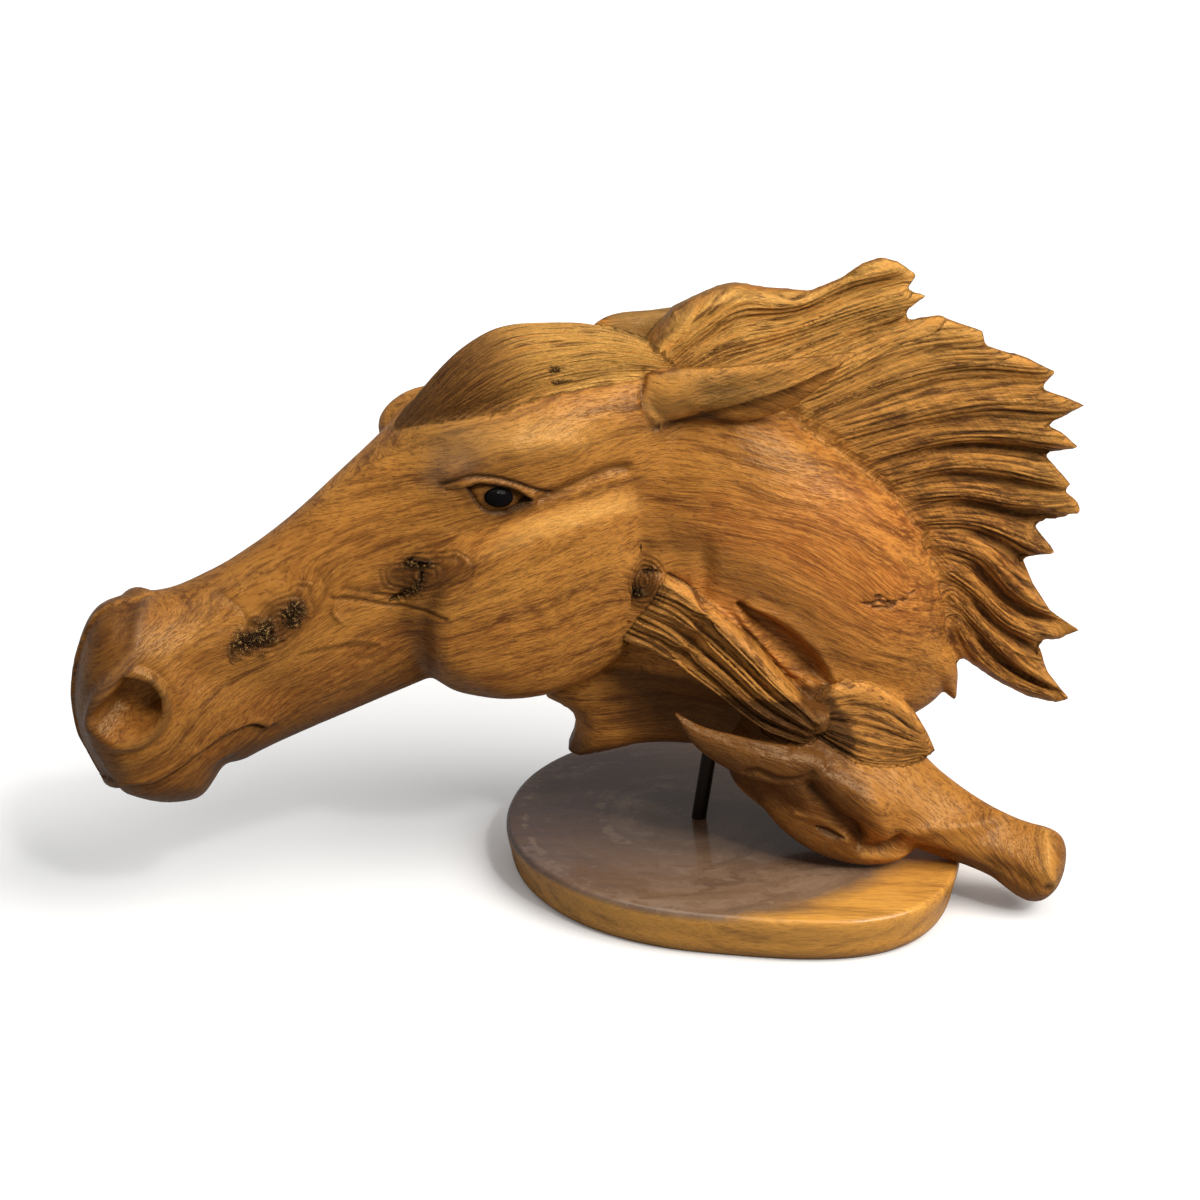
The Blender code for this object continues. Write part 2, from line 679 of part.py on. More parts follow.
def apply_modifiers(obj):
    graph = bpy.context.evaluated_depsgraph_get()
    graph.update()
    mesh = bpy.data.meshes.new_from_object(obj.evaluated_get(graph))
    obj.modifiers.clear()
    old = obj.data
    obj.data = mesh
    bpy.data.meshes.remove(old)


def soften(obj, rounds):
    smooth = obj.modifiers.new("soften", "SMOOTH")
    smooth.factor = 0.5
    smooth.iterations = rounds


def fuse(obj, voxel, rounds):
    """Joins overlapping shapes into one skin and softens it."""
    remesh = obj.modifiers.new("fuse", "REMESH")
    remesh.mode = "VOXEL"
    remesh.voxel_size = voxel * MM
    soften(obj, rounds)
    apply_modifiers(obj)


def normals_of(mesh):
    normals = np.empty(len(mesh.vertices) * 3)
    mesh.vertex_normals.foreach_get("vector", normals)
    return normals.reshape(-1, 3)


def horse_carving(collection):
    horse, foal = horse_frame(), foal_frame()
    body = make_object("body", *join(broad_forms(horse, foal)), collection)
    fuse(body, CARVING_VOXEL, 8)
    points, faces = mesh_arrays(body.data)
    forms = [(points / MM, faces)] + hair_forms(horse, CARVING_VOXEL)
    bpy.data.objects.remove(body)
    obj = make_object("horse_carving", *join(forms), collection)
    fuse(obj, CARVING_VOXEL, 1)
    points = mesh_arrays(obj.data)[0] / MM
    normals = normals_of(obj.data)
    push = carve_horse_face(points, normals, horse)
    push += carve_foal_face(points, normals)
    push += carve_far_ear(points, normals)
    points += normals * push[:, None]
    obj.data.vertices.foreach_set("co", (points * MM).ravel())
    obj.data.update()
    reduce = obj.modifiers.new("reduce", "DECIMATE")
    reduce.ratio = min(1.0, CARVING_TRIANGLES / (2 * len(obj.data.polygons)))
    reduce.use_collapse_triangulate = True
    apply_modifiers(obj)
    obj.data.shade_smooth()
    obj.data.set_sharp_from_angle(angle=math.radians(40))
    return obj


def eye_bead(name, frame, side, swelling, collection):
    """An oval bead, longer along the eye's slit; side is -1 for the near eye."""
    turn = Matrix((frame.along, frame.dorsal, frame.far)).transposed().to_4x4()
    slit = Matrix.Rotation(EYE_TURN, 4, "Z")
    place = frame.world(EYE_AT[0], EYE_AT[1], side * EYE_SIDE) * MM
    bpy.ops.mesh.primitive_uv_sphere_add(segments=16, ring_count=10, radius=1.0)
    bead = bpy.context.object
    bead.name = name
    bead.data.transform(Matrix.Diagonal((*((size + swelling) * MM for size in BEAD_HALF), 1.0)))
    bead.data.transform(turn @ slit)
    bead.data.transform(Matrix.Translation(Vector(place)))
    bead.data.shade_smooth()
    move_to(bead, collection)
    return bead


def move_to(obj, collection):
    for each in list(obj.users_collection):
        each.objects.unlink(obj)
    collection.objects.link(obj)


def base_outline(z, inset, steps=64):
    """The slab's outline at a height, drawn in by an amount."""
    angle = np.linspace(0, 2 * math.pi, steps, endpoint=False)
    square = np.where(np.cos(angle) > 0, BASE_SQUARENESS, BASE_SQUARENESS_LEFT)
    x = (BASE_HALF_LENGTH - inset) * power(np.cos(angle), 2 / square)
    y = (BASE_HALF_DEPTH - inset) * power(np.sin(angle), 2 / square)
    turned_x = BASE_CENTRE[0] + x * math.cos(BASE_TURN) - y * math.sin(BASE_TURN)
    turned_y = BASE_CENTRE[1] + x * math.sin(BASE_TURN) + y * math.cos(BASE_TURN)
    return np.stack([turned_x, turned_y, np.full(steps, z)], axis=1)


def wooden_base(collection):
    rings = [base_outline(z, inset) for z, inset in BASE_PROFILE]
    obj = make_object("wooden_base", *mesh_from_rings(rings), collection)
    obj.data.shade_smooth()
    obj.data.set_sharp_from_angle(angle=math.radians(35))
    return obj


def cylinder_between(name, foot, head, radius, collection, sides=32):
    foot, head = Vector(foot) * MM, Vector(head) * MM
    bpy.ops.mesh.primitive_cylinder_add(
        vertices=sides, radius=radius * MM, depth=(head - foot).length
    )
    obj = bpy.context.object
    obj.name = name
    obj.location = (foot + head) / 2
    obj.rotation_mode = "QUATERNION"
    obj.rotation_quaternion = (head - foot).to_track_quat("Z", "Y")
    obj.data.shade_smooth()
    obj.data.set_sharp_from_angle(angle=math.radians(35))
    move_to(obj, collection)
    return obj


def as_cutter(obj):
    obj.hide_render = True
    obj.display_type = "WIRE"
    return obj


def cut(obj, cutter):
    boolean = obj.modifiers.new("cut_" + cutter.name, "BOOLEAN")
    boolean.operation = "DIFFERENCE"
    boolean.solver = "EXACT"
    boolean.object = cutter


def finish(obj, name, colour, roughness, metallic=0.0):
    material = bpy.data.materials.new(name)
    material.use_nodes = True
    shader = material.node_tree.nodes["Principled BSDF"]
    shader.inputs["Base Color"].default_value = (*colour, 1.0)
    shader.inputs["Roughness"].default_value = roughness
    shader.inputs["Metallic"].default_value = metallic
    obj.data.materials.clear()
    obj.data.materials.append(material)


def main():
    for obj in list(bpy.data.objects):
        bpy.data.objects.remove(obj)
    parts = bpy.data.collections.new("driftwood_horse_head")
    cutters = bpy.data.collections.new("cutters")
    bpy.context.scene.collection.children.link(parts)
    bpy.context.scene.collection.children.link(cutters)
    carving = horse_carving(parts)
    base = wooden_base(parts)
    rod = cylinder_between("support_rod", ROD_FOOT, ROD_HEAD, ROD_RADIUS, parts)
    finish(carving, "carved_hardwood", (0.36, 0.17, 0.06), 0.38)
    finish(base, "polished_slab", (0.24, 0.13, 0.08), 0.22)
    finish(rod, "dark_steel", (0.03, 0.028, 0.025), 0.4, 1.0)

    lean = (np.array(ROD_HEAD) - ROD_FOOT) / np.linalg.norm(np.array(ROD_HEAD) - ROD_FOOT)
    socket = cylinder_between(
        "rod_socket", ROD_FOOT - FIT_GAP * lean, ROD_HEAD + FIT_GAP * lean,
        ROD_RADIUS + FIT_GAP, cutters,
    )
    as_cutter(socket)
    cut(carving, socket)
    cut(base, socket)
    for name, side in (("left_eye_bead", -1), ("right_eye_bead", 1)):
        bead = eye_bead(name, horse_frame(), side, 0.0, parts)
        finish(bead, "black_bead", (0.004, 0.004, 0.005), 0.05)
        pocket = as_cutter(eye_bead(name + "_pocket", horse_frame(), side, FIT_GAP, cutters))
        cut(carving, pocket)


if __name__ == "__main__":
    main()
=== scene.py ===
"""Carved wooden horse's head with a foal's head below it, on a steel rod and a wooden base.

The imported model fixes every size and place. This script builds the looks around it: the carving
with its strands of hair, eyelids, knots and grain, the polished base, the eye beads and the rod's
finish. Shapes are worked out in millimetres and written in metres.
"""

import json
import math

import bmesh
import bpy
import numpy as np
from bpy.props import FloatProperty, FloatVectorProperty, IntProperty, PointerProperty
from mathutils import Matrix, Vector

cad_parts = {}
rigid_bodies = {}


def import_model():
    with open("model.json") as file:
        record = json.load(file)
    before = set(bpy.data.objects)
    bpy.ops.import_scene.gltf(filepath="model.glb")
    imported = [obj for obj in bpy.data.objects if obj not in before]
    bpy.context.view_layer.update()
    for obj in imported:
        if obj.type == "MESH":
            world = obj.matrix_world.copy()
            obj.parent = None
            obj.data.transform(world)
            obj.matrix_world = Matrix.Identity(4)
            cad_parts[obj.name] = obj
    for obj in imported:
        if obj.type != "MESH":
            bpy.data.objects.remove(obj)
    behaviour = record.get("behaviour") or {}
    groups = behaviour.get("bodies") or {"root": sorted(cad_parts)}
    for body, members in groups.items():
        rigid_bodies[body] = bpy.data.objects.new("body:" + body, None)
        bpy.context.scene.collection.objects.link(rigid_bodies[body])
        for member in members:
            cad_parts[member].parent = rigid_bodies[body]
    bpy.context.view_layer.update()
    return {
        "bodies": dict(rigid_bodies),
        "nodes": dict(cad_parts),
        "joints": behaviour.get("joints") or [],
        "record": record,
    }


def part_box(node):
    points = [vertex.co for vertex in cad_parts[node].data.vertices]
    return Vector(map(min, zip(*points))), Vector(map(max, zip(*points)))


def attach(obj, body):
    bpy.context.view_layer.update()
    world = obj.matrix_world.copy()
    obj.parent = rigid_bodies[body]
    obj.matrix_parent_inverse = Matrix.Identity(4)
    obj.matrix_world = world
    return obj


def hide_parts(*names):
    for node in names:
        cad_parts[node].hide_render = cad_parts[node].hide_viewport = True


bl_info = {
    "name": "Carved Horse Head",
    "version": (1, 0, 0),
    "blender": (4, 5, 0),
    "location": "3D View > Sidebar > Carving",
    "description": "Builds a varnished horse's head of carved wood on its rod and base",
    "category": "Object",
}

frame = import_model()

MM = 0.001
BODY = "root"

# Horse's head: its own frame runs from the poll (a = 0) along the nose, with d towards the
# forehead and l towards the far cheek
HEAD_YAW = math.radians(18)
HEAD_PITCH = math.radians(22)
HEAD_POLL = (-41.0, 12.0, 215.0)

# Foal's head: the same kind of frame, rolled so that its forehead faces the viewer
FOAL_POLL = (31.0, -46.0, 95.0)
FOAL_NOSE = (163.0, -63.0, 28.0)
FOAL_ROLL = math.radians(32)
VIEW_TILT = math.radians(21)

# The middle plane of the neck and mane
MIDDLE = 12.0


def through(stations):
    """A smooth function through (position, value) pairs, flat beyond its ends."""
    at = np.array([s[0] for s in stations], float)
    value = np.array([s[1] for s in stations], float)
    slope = np.gradient(value, at)

    def curve(x):
        x = np.clip(np.asarray(x, float), at[0], at[-1])
        i = np.clip(np.searchsorted(at, x) - 1, 0, len(at) - 2)
        h = at[i + 1] - at[i]
        t = (x - at[i]) / h
        return (
            value[i] * (1 + 2 * t) * (1 - t) ** 2
            + slope[i] * h * t * (1 - t) ** 2
            + value[i + 1] * t * t * (3 - 2 * t)
            + slope[i + 1] * h * t * t * (t - 1)
        )

    return curve


def evenly(values):
    """A smooth function of a share from 0 to 1 through evenly spaced values."""
    return through(list(zip(np.linspace(0, 1, len(values)), values)))


def smooth_path(points, count):
    """count points along a smooth curve through the given points."""
    points = np.array(points, float)
    steps = np.r_[0, np.cumsum(np.linalg.norm(np.diff(points, axis=0), axis=1))]
    where = np.linspace(0, steps[-1], count)
    columns = [through(list(zip(steps, points[:, k])))(where) for k in range(points.shape[1])]
    return np.stack(columns, axis=1)


def ramp(value, low, high):
    """0 below low, 1 above high, and smooth between."""
    t = np.clip((value - low) / (high - low), 0, 1)
    return t * t * (3 - 2 * t)


def bump(distance, width):
    """1 at no distance, falling smoothly to 0 beyond a width."""
    return np.exp(-((distance / width) ** 2))


def most(*values):
    """The highest of several values at each point."""
    return np.maximum.reduce(values)


def power(value, exponent):
    """A power that keeps the sign, for cross-sections between a circle and a square."""
    return np.sign(value) * np.abs(value) ** exponent


def ring_angles(sides):
    return np.linspace(0, 2 * math.pi, sides, endpoint=False)


def path_distance(points, path):
    """Each point's distance to a path, and how far along the path it lies, from 0 to 1."""
    path = np.array(path, float)
    best = np.full(len(points), np.inf)
    along = np.zeros(len(points))
    lengths = np.linalg.norm(np.diff(path, axis=0), axis=1)
    before = np.r_[0, np.cumsum(lengths)]
    for i, length in enumerate(lengths):
        step = (path[i + 1] - path[i]) / length
        t = np.clip((points - path[i]) @ step, 0, length)
        distance = np.linalg.norm(points - path[i] - t[:, None] * step, axis=1)
        nearer = distance < best
        best[nearer] = distance[nearer]
        along[nearer] = (before[i] + t[nearer]) / before[-1]
    return best, along


def curve_distance(points, path, steps=20):
    """Each point's distance to a smooth curve through a path."""
    return path_distance(points, smooth_path(path, steps))[0]


def turned(x, y, centre, angle):
    """Coordinates along and across a direction, from a centre."""
    x, y = x - centre[0], y - centre[1]
    return x * math.cos(angle) + y * math.sin(angle), y * math.cos(angle) - x * math.sin(angle)


def turned_back(x, y, centre, angle):
    """The place that lies this far along and across a direction, from a centre."""
    cosine, sine = math.cos(angle), math.sin(angle)
    return centre[0] + x * cosine - y * sine, centre[1] + x * sine + y * cosine


def oval_share(x, y, centre, half, turn=0.0):
    """How far out a point lies in a turned oval: 0 in its middle and 1 on its edge."""
    x, y = turned(x, y, centre, turn)
    return np.hypot(x / half[0], y / half[1])


class Noise:
    """Smooth seeded noise from 0 to 1 over two or three coordinates."""

    SIZE = 256

    def __init__(self, seed):
        self.table = np.random.default_rng(seed).random((self.SIZE, self.SIZE))

    def __call__(self, x, y):
        x, y = np.broadcast_arrays(np.asarray(x, float), np.asarray(y, float))
        left, low = np.floor(x).astype(int), np.floor(y).astype(int)
        s, t = ramp(x - left, 0, 1), ramp(y - low, 0, 1)
        left, low = left % self.SIZE, low % self.SIZE
        right, high = (left + 1) % self.SIZE, (low + 1) % self.SIZE
        near = self.table[left, low] * (1 - s) + self.table[right, low] * s
        far = self.table[left, high] * (1 - s) + self.table[right, high] * s
        return near * (1 - t) + far * t

    def solid(self, points):
        """The noise over space, as the mean of its three side views."""
        x, y, z = points.T
        return (self(x, y + 31) + self(y + 57, z) + self(z + 83, x)) / 3


def mesh_from_rings(rings):
    """A closed mesh from rings of points, with a fan over each end."""
    rings = np.array(rings, float)
    count, sides, _ = rings.shape
    points = np.concatenate([rings.reshape(-1, 3), rings[0].mean(0)[None], rings[-1].mean(0)[None]])
    faces = []
    first, last = count * sides, count * sides + 1
    for j in range(sides):
        k = (j + 1) % sides
        for i in range(count - 1):
            faces.append((i * sides + j, i * sides + k, (i + 1) * sides + k, (i + 1) * sides + j))
        faces.append((first, k, j))
        faces.append((last, (count - 1) * sides + j, (count - 1) * sides + k))
    return points, faces


class Frame:
    """A head's own frame: a along the nose, d towards the forehead, l towards the far cheek."""

    def __init__(self, origin, along, dorsal):
        self.origin = np.array(origin, float)
        self.along = np.array(along, float) / np.linalg.norm(along)
        dorsal = np.array(dorsal, float) - np.dot(dorsal, self.along) * self.along
        self.dorsal = dorsal / np.linalg.norm(dorsal)
        across = np.cross(self.dorsal, self.along)
        self.far = across if across[1] > 0 else -across

    def world(self, a, d, l):
        a, d, l = np.broadcast_arrays(*(np.asarray(v, float) for v in (a, d, l)))
        return (
            self.origin
            + a[..., None] * self.along
            + d[..., None] * self.dorsal
            + l[..., None] * self.far
        )

    def local(self, points):
        offset = points - self.origin
        return offset @ self.along, offset @ self.dorsal, offset @ self.far


def horse_frame():
    """The horse's head points to the left, towards the viewer and downwards."""
    forward = np.array([-math.cos(HEAD_YAW), -math.sin(HEAD_YAW), 0.0])
    up = np.array([0.0, 0.0, 1.0])
    along = math.cos(HEAD_PITCH) * forward - math.sin(HEAD_PITCH) * up
    dorsal = math.sin(HEAD_PITCH) * forward + math.cos(HEAD_PITCH) * up
    return Frame(HEAD_POLL, along, dorsal)


def foal_frame(roll=FOAL_ROLL):
    """The foal's head, whose forehead faces the viewer but for its roll."""
    along = np.array(FOAL_NOSE) - np.array(FOAL_POLL)
    along /= np.linalg.norm(along)
    to_viewer = np.array([0.0, -math.cos(VIEW_TILT), math.sin(VIEW_TILT)])
    to_viewer -= np.dot(to_viewer, along) * along
    to_viewer /= np.linalg.norm(to_viewer)
    upper_edge = np.cross(along, to_viewer)
    if upper_edge[2] < 0:
        upper_edge = -upper_edge
    dorsal = math.cos(roll) * to_viewer + math.sin(roll) * upper_edge
    return Frame(FOAL_POLL, along, dorsal)


# Heads, forelock and cheek as cross-sections: a, top, bottom, half width, level of widest point
HORSE_STATIONS = (
    (-34, 36, -30, 20, 8),
    (-20, 48, -38, 31, 18),
    (0, 58, -46, 39, 26),
    (25, 66, -52, 43, 30),
    (50, 72, -54, 45, 32),
    (75, 74, -54, 45, 34),
    (95, 73, -54, 43, 32),
    (115, 67, -54, 37, 22),
    (140, 60, -52, 31, 10),
    (165, 52.5, -50, 28, 4),
    (190, 47, -48, 27, 4),
    (215, 44.5, -46, 27, 4),
    (238, 46, -45, 30, 6),
    (255, 53, -46, 34, 10),
    (270, 53, -50, 36, 10),
    (284, 42, -45, 34, 6),
    (294, 29, -36, 28, 2),
    (300, 17, -29, 20, -2),
    (304, 4, -20, 9, -6),
)
FORELOCK_STATIONS = (
    (-26, 44, 20, 16, 34),
    (-14, 56, 26, 24, 44),
    (0, 68, 34, 27, 52),
    (20, 79, 40, 29, 60),
    (45, 88, 44, 30, 66),
    (60, 87, 46, 29, 67),
    (82, 80, 50, 24, 66),
    (98, 73, 54, 17, 64),
    (116, 65, 58, 5, 61),
)
FOAL_STATIONS = (
    (-24, -12, -42, 14, -24),
    (-14, -3, -54, 23, -20),
    (4, 2, -60, 29, -18),
    (24, 4, -60, 31.5, -18),
    (42, 4, -54, 31, -16),
    (56, 2, -44, 27, -14),
    (72, -1, -37, 21.5, -14),
    (92, -3, -32, 18, -15),
    (112, -3, -28, 16.5, -14),
    (125, -1, -27, 17, -13),
    (135, 2, -29, 18.5, -12),
    (143, 0, -28, 17.5, -13),
    (148, -6, -25, 13, -15),
    (151, -12, -20, 6, -16),
)
SECTION_ROUNDNESS = 2.4

# Cheek: centre (a, d, l), half sizes, and how square its edge is
CHEEK_CENTRE = (80.0, -16.5, 0.0)
CHEEK_HALF = (73.0, 68.5, 46.0)
CHEEK_SQUARENESS = 3.2
# Foal's cheek: centre and half sizes, with d straight towards the viewer
FOAL_CHEEK_AT = (34.5, -9.0, -17.5)
FOAL_CHEEK_HALF = (49.0, 12.0, 34.5)


def section_curves(stations):
    """The four sizes of a row of cross-sections, each as a function of where the section lies."""
    table = np.array(stations, float)
    return [through(list(zip(table[:, 0], table[:, k]))) for k in (1, 2, 3, 4)]


def head_rings(frame, stations, sides=72, steps=110):
    """Cross-sections of a head, from behind the poll to the muzzle."""
    top, bottom, half, level = section_curves(stations)
    angle = ring_angles(sides)
    rings = []
    for a in np.linspace(stations[0][0], stations[-1][0], steps):
        middle = float(level(a))
        reach = np.where(np.sin(angle) >= 0, float(top(a)) - middle, middle - float(bottom(a)))
        l = float(half(a)) * power(np.cos(angle), 2 / SECTION_ROUNDNESS)
        d = middle + reach * power(np.sin(angle), 2 / SECTION_ROUNDNESS)
        rings.append(frame.world(a, d, l))
    return rings


def disc_rings(frame, centre, half, levels, sides):
    """A form with rounded edges across the head, from each ring's share of its size and depth."""
    angle = ring_angles(sides)
    return [
        frame.world(
            centre[0] + half[0] * size * np.cos(angle),
            centre[1] + half[1] * size * np.sin(angle),
            centre[2] + half[2] * across,
        )
        for size, across in levels
    ]


def cheek_rings(frame):
    """A thick disc with rounded edges."""
    levels = [
        ((1 - abs(across) ** CHEEK_SQUARENESS) ** (1 / CHEEK_SQUARENESS), across)
        for across in np.sin(np.linspace(-1.56, 1.56, 56))
    ]
    return disc_rings(frame, CHEEK_CENTRE, CHEEK_HALF, levels, 96)


def pebble_rings(frame, centre, half):
    """An oval lump."""
    levels = [(math.cos(turn), math.sin(turn)) for turn in np.linspace(-1.5, 1.5, 30)]
    return disc_rings(frame, centre, half, levels, 48)


# Neck as level slices: z, left end, right end, half thickness, middle's y
NECK_STATIONS = (
    (78, 10, 86, 12, 2),
    (85, -30, 98, 22, 4),
    (92, -45, 106, 30, 6),
    (102, -58, 110, 38, 8),
    (125, -66, 109.5, 47, 10),
    (145, -80, 107, 51, 11),
    (169, -96, 99, 53, 12),
    (182, -98, 93, 52, 12),
    (203, -96, 76, 49, 12),
    (222, -90, 51, 43, 12),
    (232, -85, 38, 38, 12),
    (243, -75, 22, 31, 12),
    (256, -60, 6, 20, 12),
    (266, -45, -10, 8, 12),
)
# The neck swells most at this share of its length, this far to the right of it
NECK_SWELL = 0.58
NECK_SWELL_SHIFT = 28.0
# How square its slices are, along X and along Y
NECK_SQUARENESS = (2.1, 2.2)


def neck_rings(sides=96, steps=90):
    """Level slices of the neck, from below upwards."""
    left, right, half, middle = section_curves(NECK_STATIONS)
    angle = ring_angles(sides)
    rings = []
    for z in np.linspace(NECK_STATIONS[0][0], NECK_STATIONS[-1][0], steps):
        x0, x1 = float(left(z)), float(right(z))
        swell = NECK_SWELL * x0 + (1 - NECK_SWELL) * x1 + NECK_SWELL_SHIFT
        reach = np.where(np.cos(angle) >= 0, x1 - swell, swell - x0)
        x = swell + reach * power(np.cos(angle), 2 / NECK_SQUARENESS[0])
        y = float(middle(z)) + float(half(z)) * power(np.sin(angle), 2 / NECK_SQUARENESS[1])
        rings.append(np.stack([x, y, np.full_like(x, z)], axis=1))
    return rings


def blade_rings(centre, side, width, thick, sides=40):
    """Lens-shaped rings along a centre line, width to each side of it."""
    tangent = np.gradient(centre, axis=0)
    tangent /= np.linalg.norm(tangent, axis=1)[:, None]
    normal = np.cross(tangent, side)
    normal /= np.linalg.norm(normal, axis=1)[:, None]
    angle = ring_angles(sides)
    rings = []
    for i in range(len(centre)):
        across = width[i] * np.cos(angle)
        depth = thick[i] * np.sin(angle)
        rings.append(centre[i] + across[:, None] * side[i] + depth[:, None] * normal[i])
    return rings


def blade(upper, lower, y, thick, steps=60):
    """A lens-shaped blade between two edges drawn as (x, z), at depths y, with half thickness thick."""
    high, low = smooth_path(upper, steps), smooth_path(lower, steps)
    share = np.linspace(0, 1, steps)
    middle, gap = (high + low) / 2, (high - low) / 2
    width = np.maximum(np.linalg.norm(gap, axis=1), 0.8)
    centre = np.stack([middle[:, 0], evenly(y)(share), middle[:, 1]], axis=1)
    side = np.stack([gap[:, 0], np.zeros(steps), gap[:, 1]], axis=1)
    side[-1] = side[-2]
    side /= np.linalg.norm(side, axis=1)[:, None]
    return mesh_from_rings(blade_rings(centre, side, width, evenly(thick)(share)))


# The far ear stands this far from the near one's mirror image, because the head is turned
FAR_EAR_SHIFT = (-22.0, -16.0, 13.0)
# Brow of the far eye, which shows past the forehead: its place in the head and its half sizes
FAR_BROW_AT = (93.0, 58.0, 31.0)
FAR_BROW_HALF = (21.0, 13.0, 15.0)


def mirrored(mesh, shift):
    """The same shape on the far side of the middle plane, moved by a shift."""
    points, faces = mesh
    points = points * (1, -1, 1) + (0, 2 * MIDDLE, 0) + shift
    return points, [face[::-1] for face in faces]


# Near ear of the horse: its outer leaf, and the inner leaf that shows below its fold
EAR_OUTER = (
    ((-51, 257), (-44, 263), (-17, 267), (2, 269), (25, 272.5), (53, 274.5)),
    ((-51, 246), (-44, 241), (-12, 248), (7, 252), (27, 259), (52, 272.5)),
    (-18, -24, -28, -29, -26), (5, 8, 6, 4, 2),
)
EAR_INNER = (
    ((-42, 255), (-10, 258), (10, 262), (30, 267), (51, 274)),
    ((-44, 238), (-21, 239), (0, 240), (19, 245), (37, 257), (51, 272)),
    (-16, -22, -23, -22), (7, 5, 4, 2),
)

# Mane: its outline as (x, z), from the crest behind the poll round the tips to the neck
MANE_EDGE = (
    (-45, 268), (-42, 273), (-31, 286), (-22, 291), (-10, 296), (-1, 298), (10, 296), (34, 294),
    (48, 300), (58, 307), (67, 310), (75, 308), (85, 301), (80, 295), (89, 293), (80, 286),
    (81, 279), (88, 281), (97, 282), (117, 275), (118, 269), (126, 266), (140, 261), (154, 254),
    (147, 246), (168, 239), (150, 229), (158, 225), (168, 216), (151, 213), (164, 199), (161, 196),
    (169, 189), (170, 185), (164, 180), (152, 178), (148, 177), (160, 163), (143, 161), (150, 146),
    (160, 131), (176, 120), (166, 115), (154, 116), (161, 98), (174, 82), (167, 80), (152, 84),
    (133, 95), (116, 108),
)
MANE_ROOT = ((95, 116), (84, 150), (68, 186), (34, 218), (0, 238), (-40, 248))

# Locks of the mane: each one's middle line as (x, z), from root to tip
MANE_LOCKS = (
    ((-42, 258), (-19, 278), (0, 290), (28, 290), (51, 300), (74, 305)),
    ((-40, 252), (-9, 271), (24, 278), (52, 287), (77, 294)),
    ((-18, 255), (10, 263), (48, 276), (78, 284)),
    ((20, 247), (48, 258), (76, 271), (116, 276)),
    ((30, 238), (67, 253), (105, 261), (148, 257)),
    ((45, 229), (87, 239), (125, 244), (163, 243)),
    ((57, 217), (97, 226), (131, 225), (163, 220)),
    ((70, 207), (103, 213), (132, 210), (160, 202)),
    ((80, 197), (106, 199), (136, 192), (166, 191)),
    ((88, 186), (109, 186), (134, 178), (155, 168)),
    ((96, 175), (118, 169), (140, 146), (173, 125)),
    ((102, 161), (119, 148), (139, 129), (162, 120)),
    ((107, 147), (125, 127), (145, 106), (170, 88)),
    ((110, 134), (121, 116), (140, 98), (164, 86)),
)
MANE_THICK = (20, 17, 13, 9, 6, 3.5)
MANE_RELIEF = (0.5, 2.0, 2.6, 2.6, 1.6)
MANE_WAVE = 3.5
MANE_ROUNDING = 5.0


def lock_field(points, locks):
    """For each point, its place across the locks (1.5 is midway between two) and along them."""
    pairs = [path_distance(points, smooth_path(lock, 24)) for lock in locks]
    distance = np.array([pair[0] for pair in pairs])
    along = np.array([pair[1] for pair in pairs])
    count, rows = len(locks), np.arange(len(points))
    nearest = distance.argmin(axis=0)
    below = np.clip(nearest - 1, 0, count - 1)
    above = np.clip(nearest + 1, 0, count - 1)
    lower = np.where(nearest == below, np.inf, distance[below, rows])
    higher = np.where(nearest == above, np.inf, distance[above, rows])
    other = np.where(lower < higher, below, above)
    first, second = distance[nearest, rows], np.minimum(lower, higher)
    share = first / (first + second)
    across = nearest + np.where(other > nearest, share, -share)
    return across, along[nearest, rows] * (1 - share) + along[other, rows] * share


def placed_in_scene(name, data):
    obj = bpy.data.objects.new(name, data)
    bpy.context.scene.collection.objects.link(obj)
    return obj


def fused_points(points, faces, voxel, rounds=0):
    """The points and four-sided faces of a mesh made anew in cubes of the given size."""
    mesh = bpy.data.meshes.new("fusing")
    mesh.from_pydata(points.tolist(), [], faces)
    obj = placed_in_scene("fusing", mesh)
    remesh = obj.modifiers.new("fuse", "REMESH")
    remesh.mode = "VOXEL"
    remesh.voxel_size = voxel
    soften = obj.modifiers.new("soften", "SMOOTH")
    soften.factor = 0.5
    soften.iterations = rounds
    graph = bpy.context.evaluated_depsgraph_get()
    fused = bpy.data.meshes.new_from_object(obj.evaluated_get(graph))
    points = np.empty(len(fused.vertices) * 3)
    fused.vertices.foreach_get("co", points)
    corners = np.empty(len(fused.loops), int)
    fused.loops.foreach_get("vertex_index", corners)
    for data in (fused, mesh):
        bpy.data.meshes.remove(data)
    return points.reshape(-1, 3), corners.reshape(-1, 4)


def sheet(outline, voxel):
    """A flat sheet with an outline given as (x, z), as points, faces and shares from -1 to 1 through it."""
    outline = np.array(outline, float)
    half = 3 * voxel
    count = len(outline)
    front = np.stack([outline[:, 0], np.full(count, -half), outline[:, 1]], axis=1)
    points = np.concatenate([front, front * (1, -1, 1)])
    faces = [tuple(range(count)), tuple(range(2 * count - 1, count - 1, -1))]
    faces += [(i, i + count, (i + 1) % count + count, (i + 1) % count) for i in range(count)]
    points, faces = fused_points(points, faces, voxel)
    return points, faces, np.clip(points[:, 1] / half, -1, 1)


def rounded_edge(distance, radius):
    """How thick a sheet is at a distance from its edge, as a share, when the edge is round."""
    return np.sqrt(1 - (1 - np.clip(distance / radius, 0.08, 1)) ** 2)


